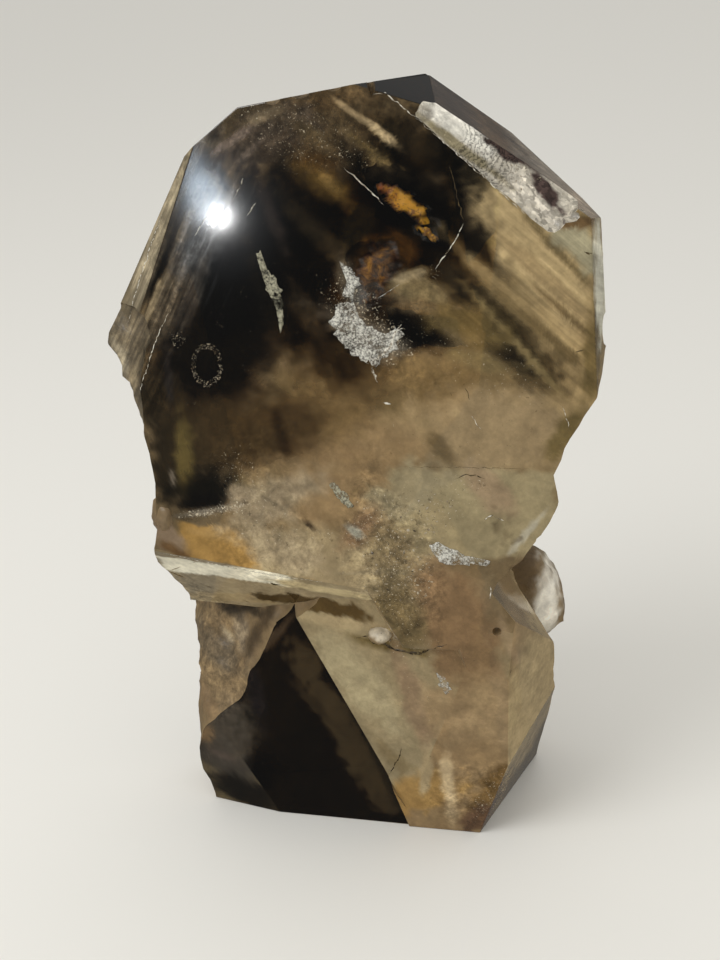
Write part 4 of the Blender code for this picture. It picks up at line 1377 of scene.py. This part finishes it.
def flakeTree():
    # flat crystal grains scattered over a carrier's faces
    tree = bpy.data.node_groups.new("scatter flakes", 'GeometryNodeTree')
    board = Board(tree)
    tree.interface.new_socket("Geometry", in_out='INPUT', socket_type='NodeSocketGeometry')
    for name in ("Density", "Smallest", "Largest", "Spread"):
        tree.interface.new_socket(name, in_out='INPUT', socket_type='NodeSocketFloat')
    tree.interface.new_socket("Seed", in_out='INPUT', socket_type='NodeSocketInt')
    tree.interface.new_socket("Material", in_out='INPUT', socket_type='NodeSocketMaterial')
    tree.interface.new_socket("Geometry", in_out='OUTPUT', socket_type='NodeSocketGeometry')
    carrier = board.node("NodeGroupInput", out="Geometry")
    seed = carrier.output("Seed")

    def chance():
        return board.node("FunctionNodeRandomValue", {"data_type": 'FLOAT'}, {"Seed": seed}, 1)

    def between(low, high):
        return board.node("FunctionNodeRandomValue", {"data_type": 'FLOAT_VECTOR'}, {
            0: low, 1: high, "Seed": seed})

    points = board.node("GeometryNodeDistributePointsOnFaces", {}, {
        "Mesh": carrier, "Density": carrier.output("Density"), "Seed": seed}, "Points")
    grain = board.node("GeometryNodeMeshIcoSphere", {}, {"Radius": 1.0, "Subdivisions": 1}, "Mesh")
    size = board.node("ShaderNodeMapRange", {}, {
        "Value": chance().math('POWER', flakeLook["smallOnes"]),
        "To Min": carrier.output("Smallest"), "To Max": carrier.output("Largest")})
    scale = board.scale(between(flakeLook["narrowest"], flakeLook["widest"]), size)
    lean = flakeLook["lean"]
    turned = board.node("FunctionNodeRotateRotation", {"rotation_space": 'LOCAL'}, {
        "Rotation": points.output("Rotation"),
        "Rotate By": between((-lean, -lean, 0.0), (lean, lean, math.tau))})
    placed = board.node("GeometryNodeInstanceOnPoints", {}, {
        "Points": points, "Instance": grain, "Rotation": turned, "Scale": scale})
    push = board.node("ShaderNodeCombineXYZ", {}, {"Y": chance() * carrier.output("Spread")})
    sunk = board.node("GeometryNodeTranslateInstances", {}, {
        "Instances": placed, "Translation": push, "Local Space": False})
    real = board.node("GeometryNodeRealizeInstances", {}, {"Geometry": sunk})
    painted = board.node("GeometryNodeSetMaterial", {}, {
        "Geometry": real, "Material": carrier.output("Material")})
    board.node("NodeGroupOutput", {}, {"Geometry": painted})
    return tree


def carrierMesh(outline):
    # faces on the front skin inside an outline, for flakes to sit on
    rim = [upright(onStone(*place)) for place in outline]
    flat = flatSheet(rim, flakeLook["carrierStep"] * mm, 6)
    for vertex in flat.verts:
        x, z = vertex.co.x, vertex.co.y
        vertex.co = (x, skinAt(x, z).y, z)
    mesh = bpy.data.meshes.new("carrier")
    flat.to_mesh(mesh)
    flat.free()
    return mesh


def ringOutline():
    count = flakeRing["count"]
    around = [math.radians(turn / count * flakeRing["sweep"]) for turn in range(count + 1)]
    points = []
    for radius, turns in ((flakeRing["outer"], around), (flakeRing["inner"], reversed(around))):
        for turn in turns:
            points.append((flakeRing["centre"][0] + radius[0] * math.cos(turn),
                           flakeRing["centre"][1] + radius[1] * math.sin(turn)))
    return points


def flakeMaterial():
    paint = Paint("quartz grains")
    first, second = paint.cells(flakeLook["cell"], 21.0)
    hue = paint.blend(first.rise(0.25, 0.70), flakeLook["pale"], flakeLook["tan"])
    hue = paint.blend(first.rise(0.80, 0.86), hue, flakeLook["dark"])
    return paint.finish(paint.surface({
        "Base Color": hue, "Roughness": second * 0.3 + 0.12, "IOR": quartz["ior"]}))


def addFlakes():
    tree = flakeTree()
    keys = {item.name: item.identifier for item in tree.interface.items_tree if item.in_out == 'INPUT'}
    material = flakeMaterial()
    parts = []
    for outline, density, smallest, largest, spread, seed in (
            *flakes.values(), (ringOutline(), *flakeRing["scatter"])):
        carrier = bpy.data.objects.new("carrier", carrierMesh(outline))
        bpy.context.scene.collection.objects.link(carrier)
        scatter = carrier.modifiers.new("scatter", 'NODES')
        scatter.node_group = tree
        for name, value in (
                ("Density", density / (mm * mm)), ("Smallest", smallest * mm), ("Largest", largest * mm),
                ("Spread", spread * mm), ("Seed", seed), ("Material", material)):
            scatter[keys[name]] = value
        grains = bpy.data.meshes.new_from_object(carrier.evaluated_get(bpy.context.evaluated_depsgraph_get()))
        parts.append(([tuple(vertex.co) for vertex in grains.vertices],
                      [tuple(face.vertices) for face in grains.polygons]))
        bpy.data.objects.remove(carrier)
        bpy.data.meshes.remove(grains)
    piece = gather("quartz_grains", parts, material)
    piece.data.shade_flat()


def addSheets(name, outlines, sheet, seed, material):
    # one piece of several sheets, each with a seed of its own
    parts = [sheetParts(outline, seed=turn, **sheet) for turn, outline in enumerate(outlines, seed)]
    gather(name, parts, material)


addSheets("amber_inclusions", amber["outlines"], amber["sheet"], 1, amberMaterial())
addSheets("deep_amber", deepAmber["outlines"], deepAmber["sheet"], 7, deepAmberMaterial())
addSheets("frosty_veils", veils.values(), veilLook["whiteSheet"], 11,
          veilMaterial("frosty veil", veilLook["white"], 0.44, 0.40, 2.0))
addSheets("feather_veils", feathers.values(), veilLook["greenSheet"], 21,
          veilMaterial("greenish veil", veilLook["green"], 0.41, 0.5, 8.0))
for look, lines in cracks_and_painted_lines.items():
    gather(look + "_cracks",
           [threadParts(line, width, seed) for seed, (line, width) in enumerate(lines, 1)],
           crackMaterial(look))
gather("smoke_sheets",
       [sheetParts(outline, depth, seed=seed, **smoke["sheet"])
        for seed, (outline, depth) in enumerate(smoke["bands"], 31)],
       smokeMaterial())
addFlakes()
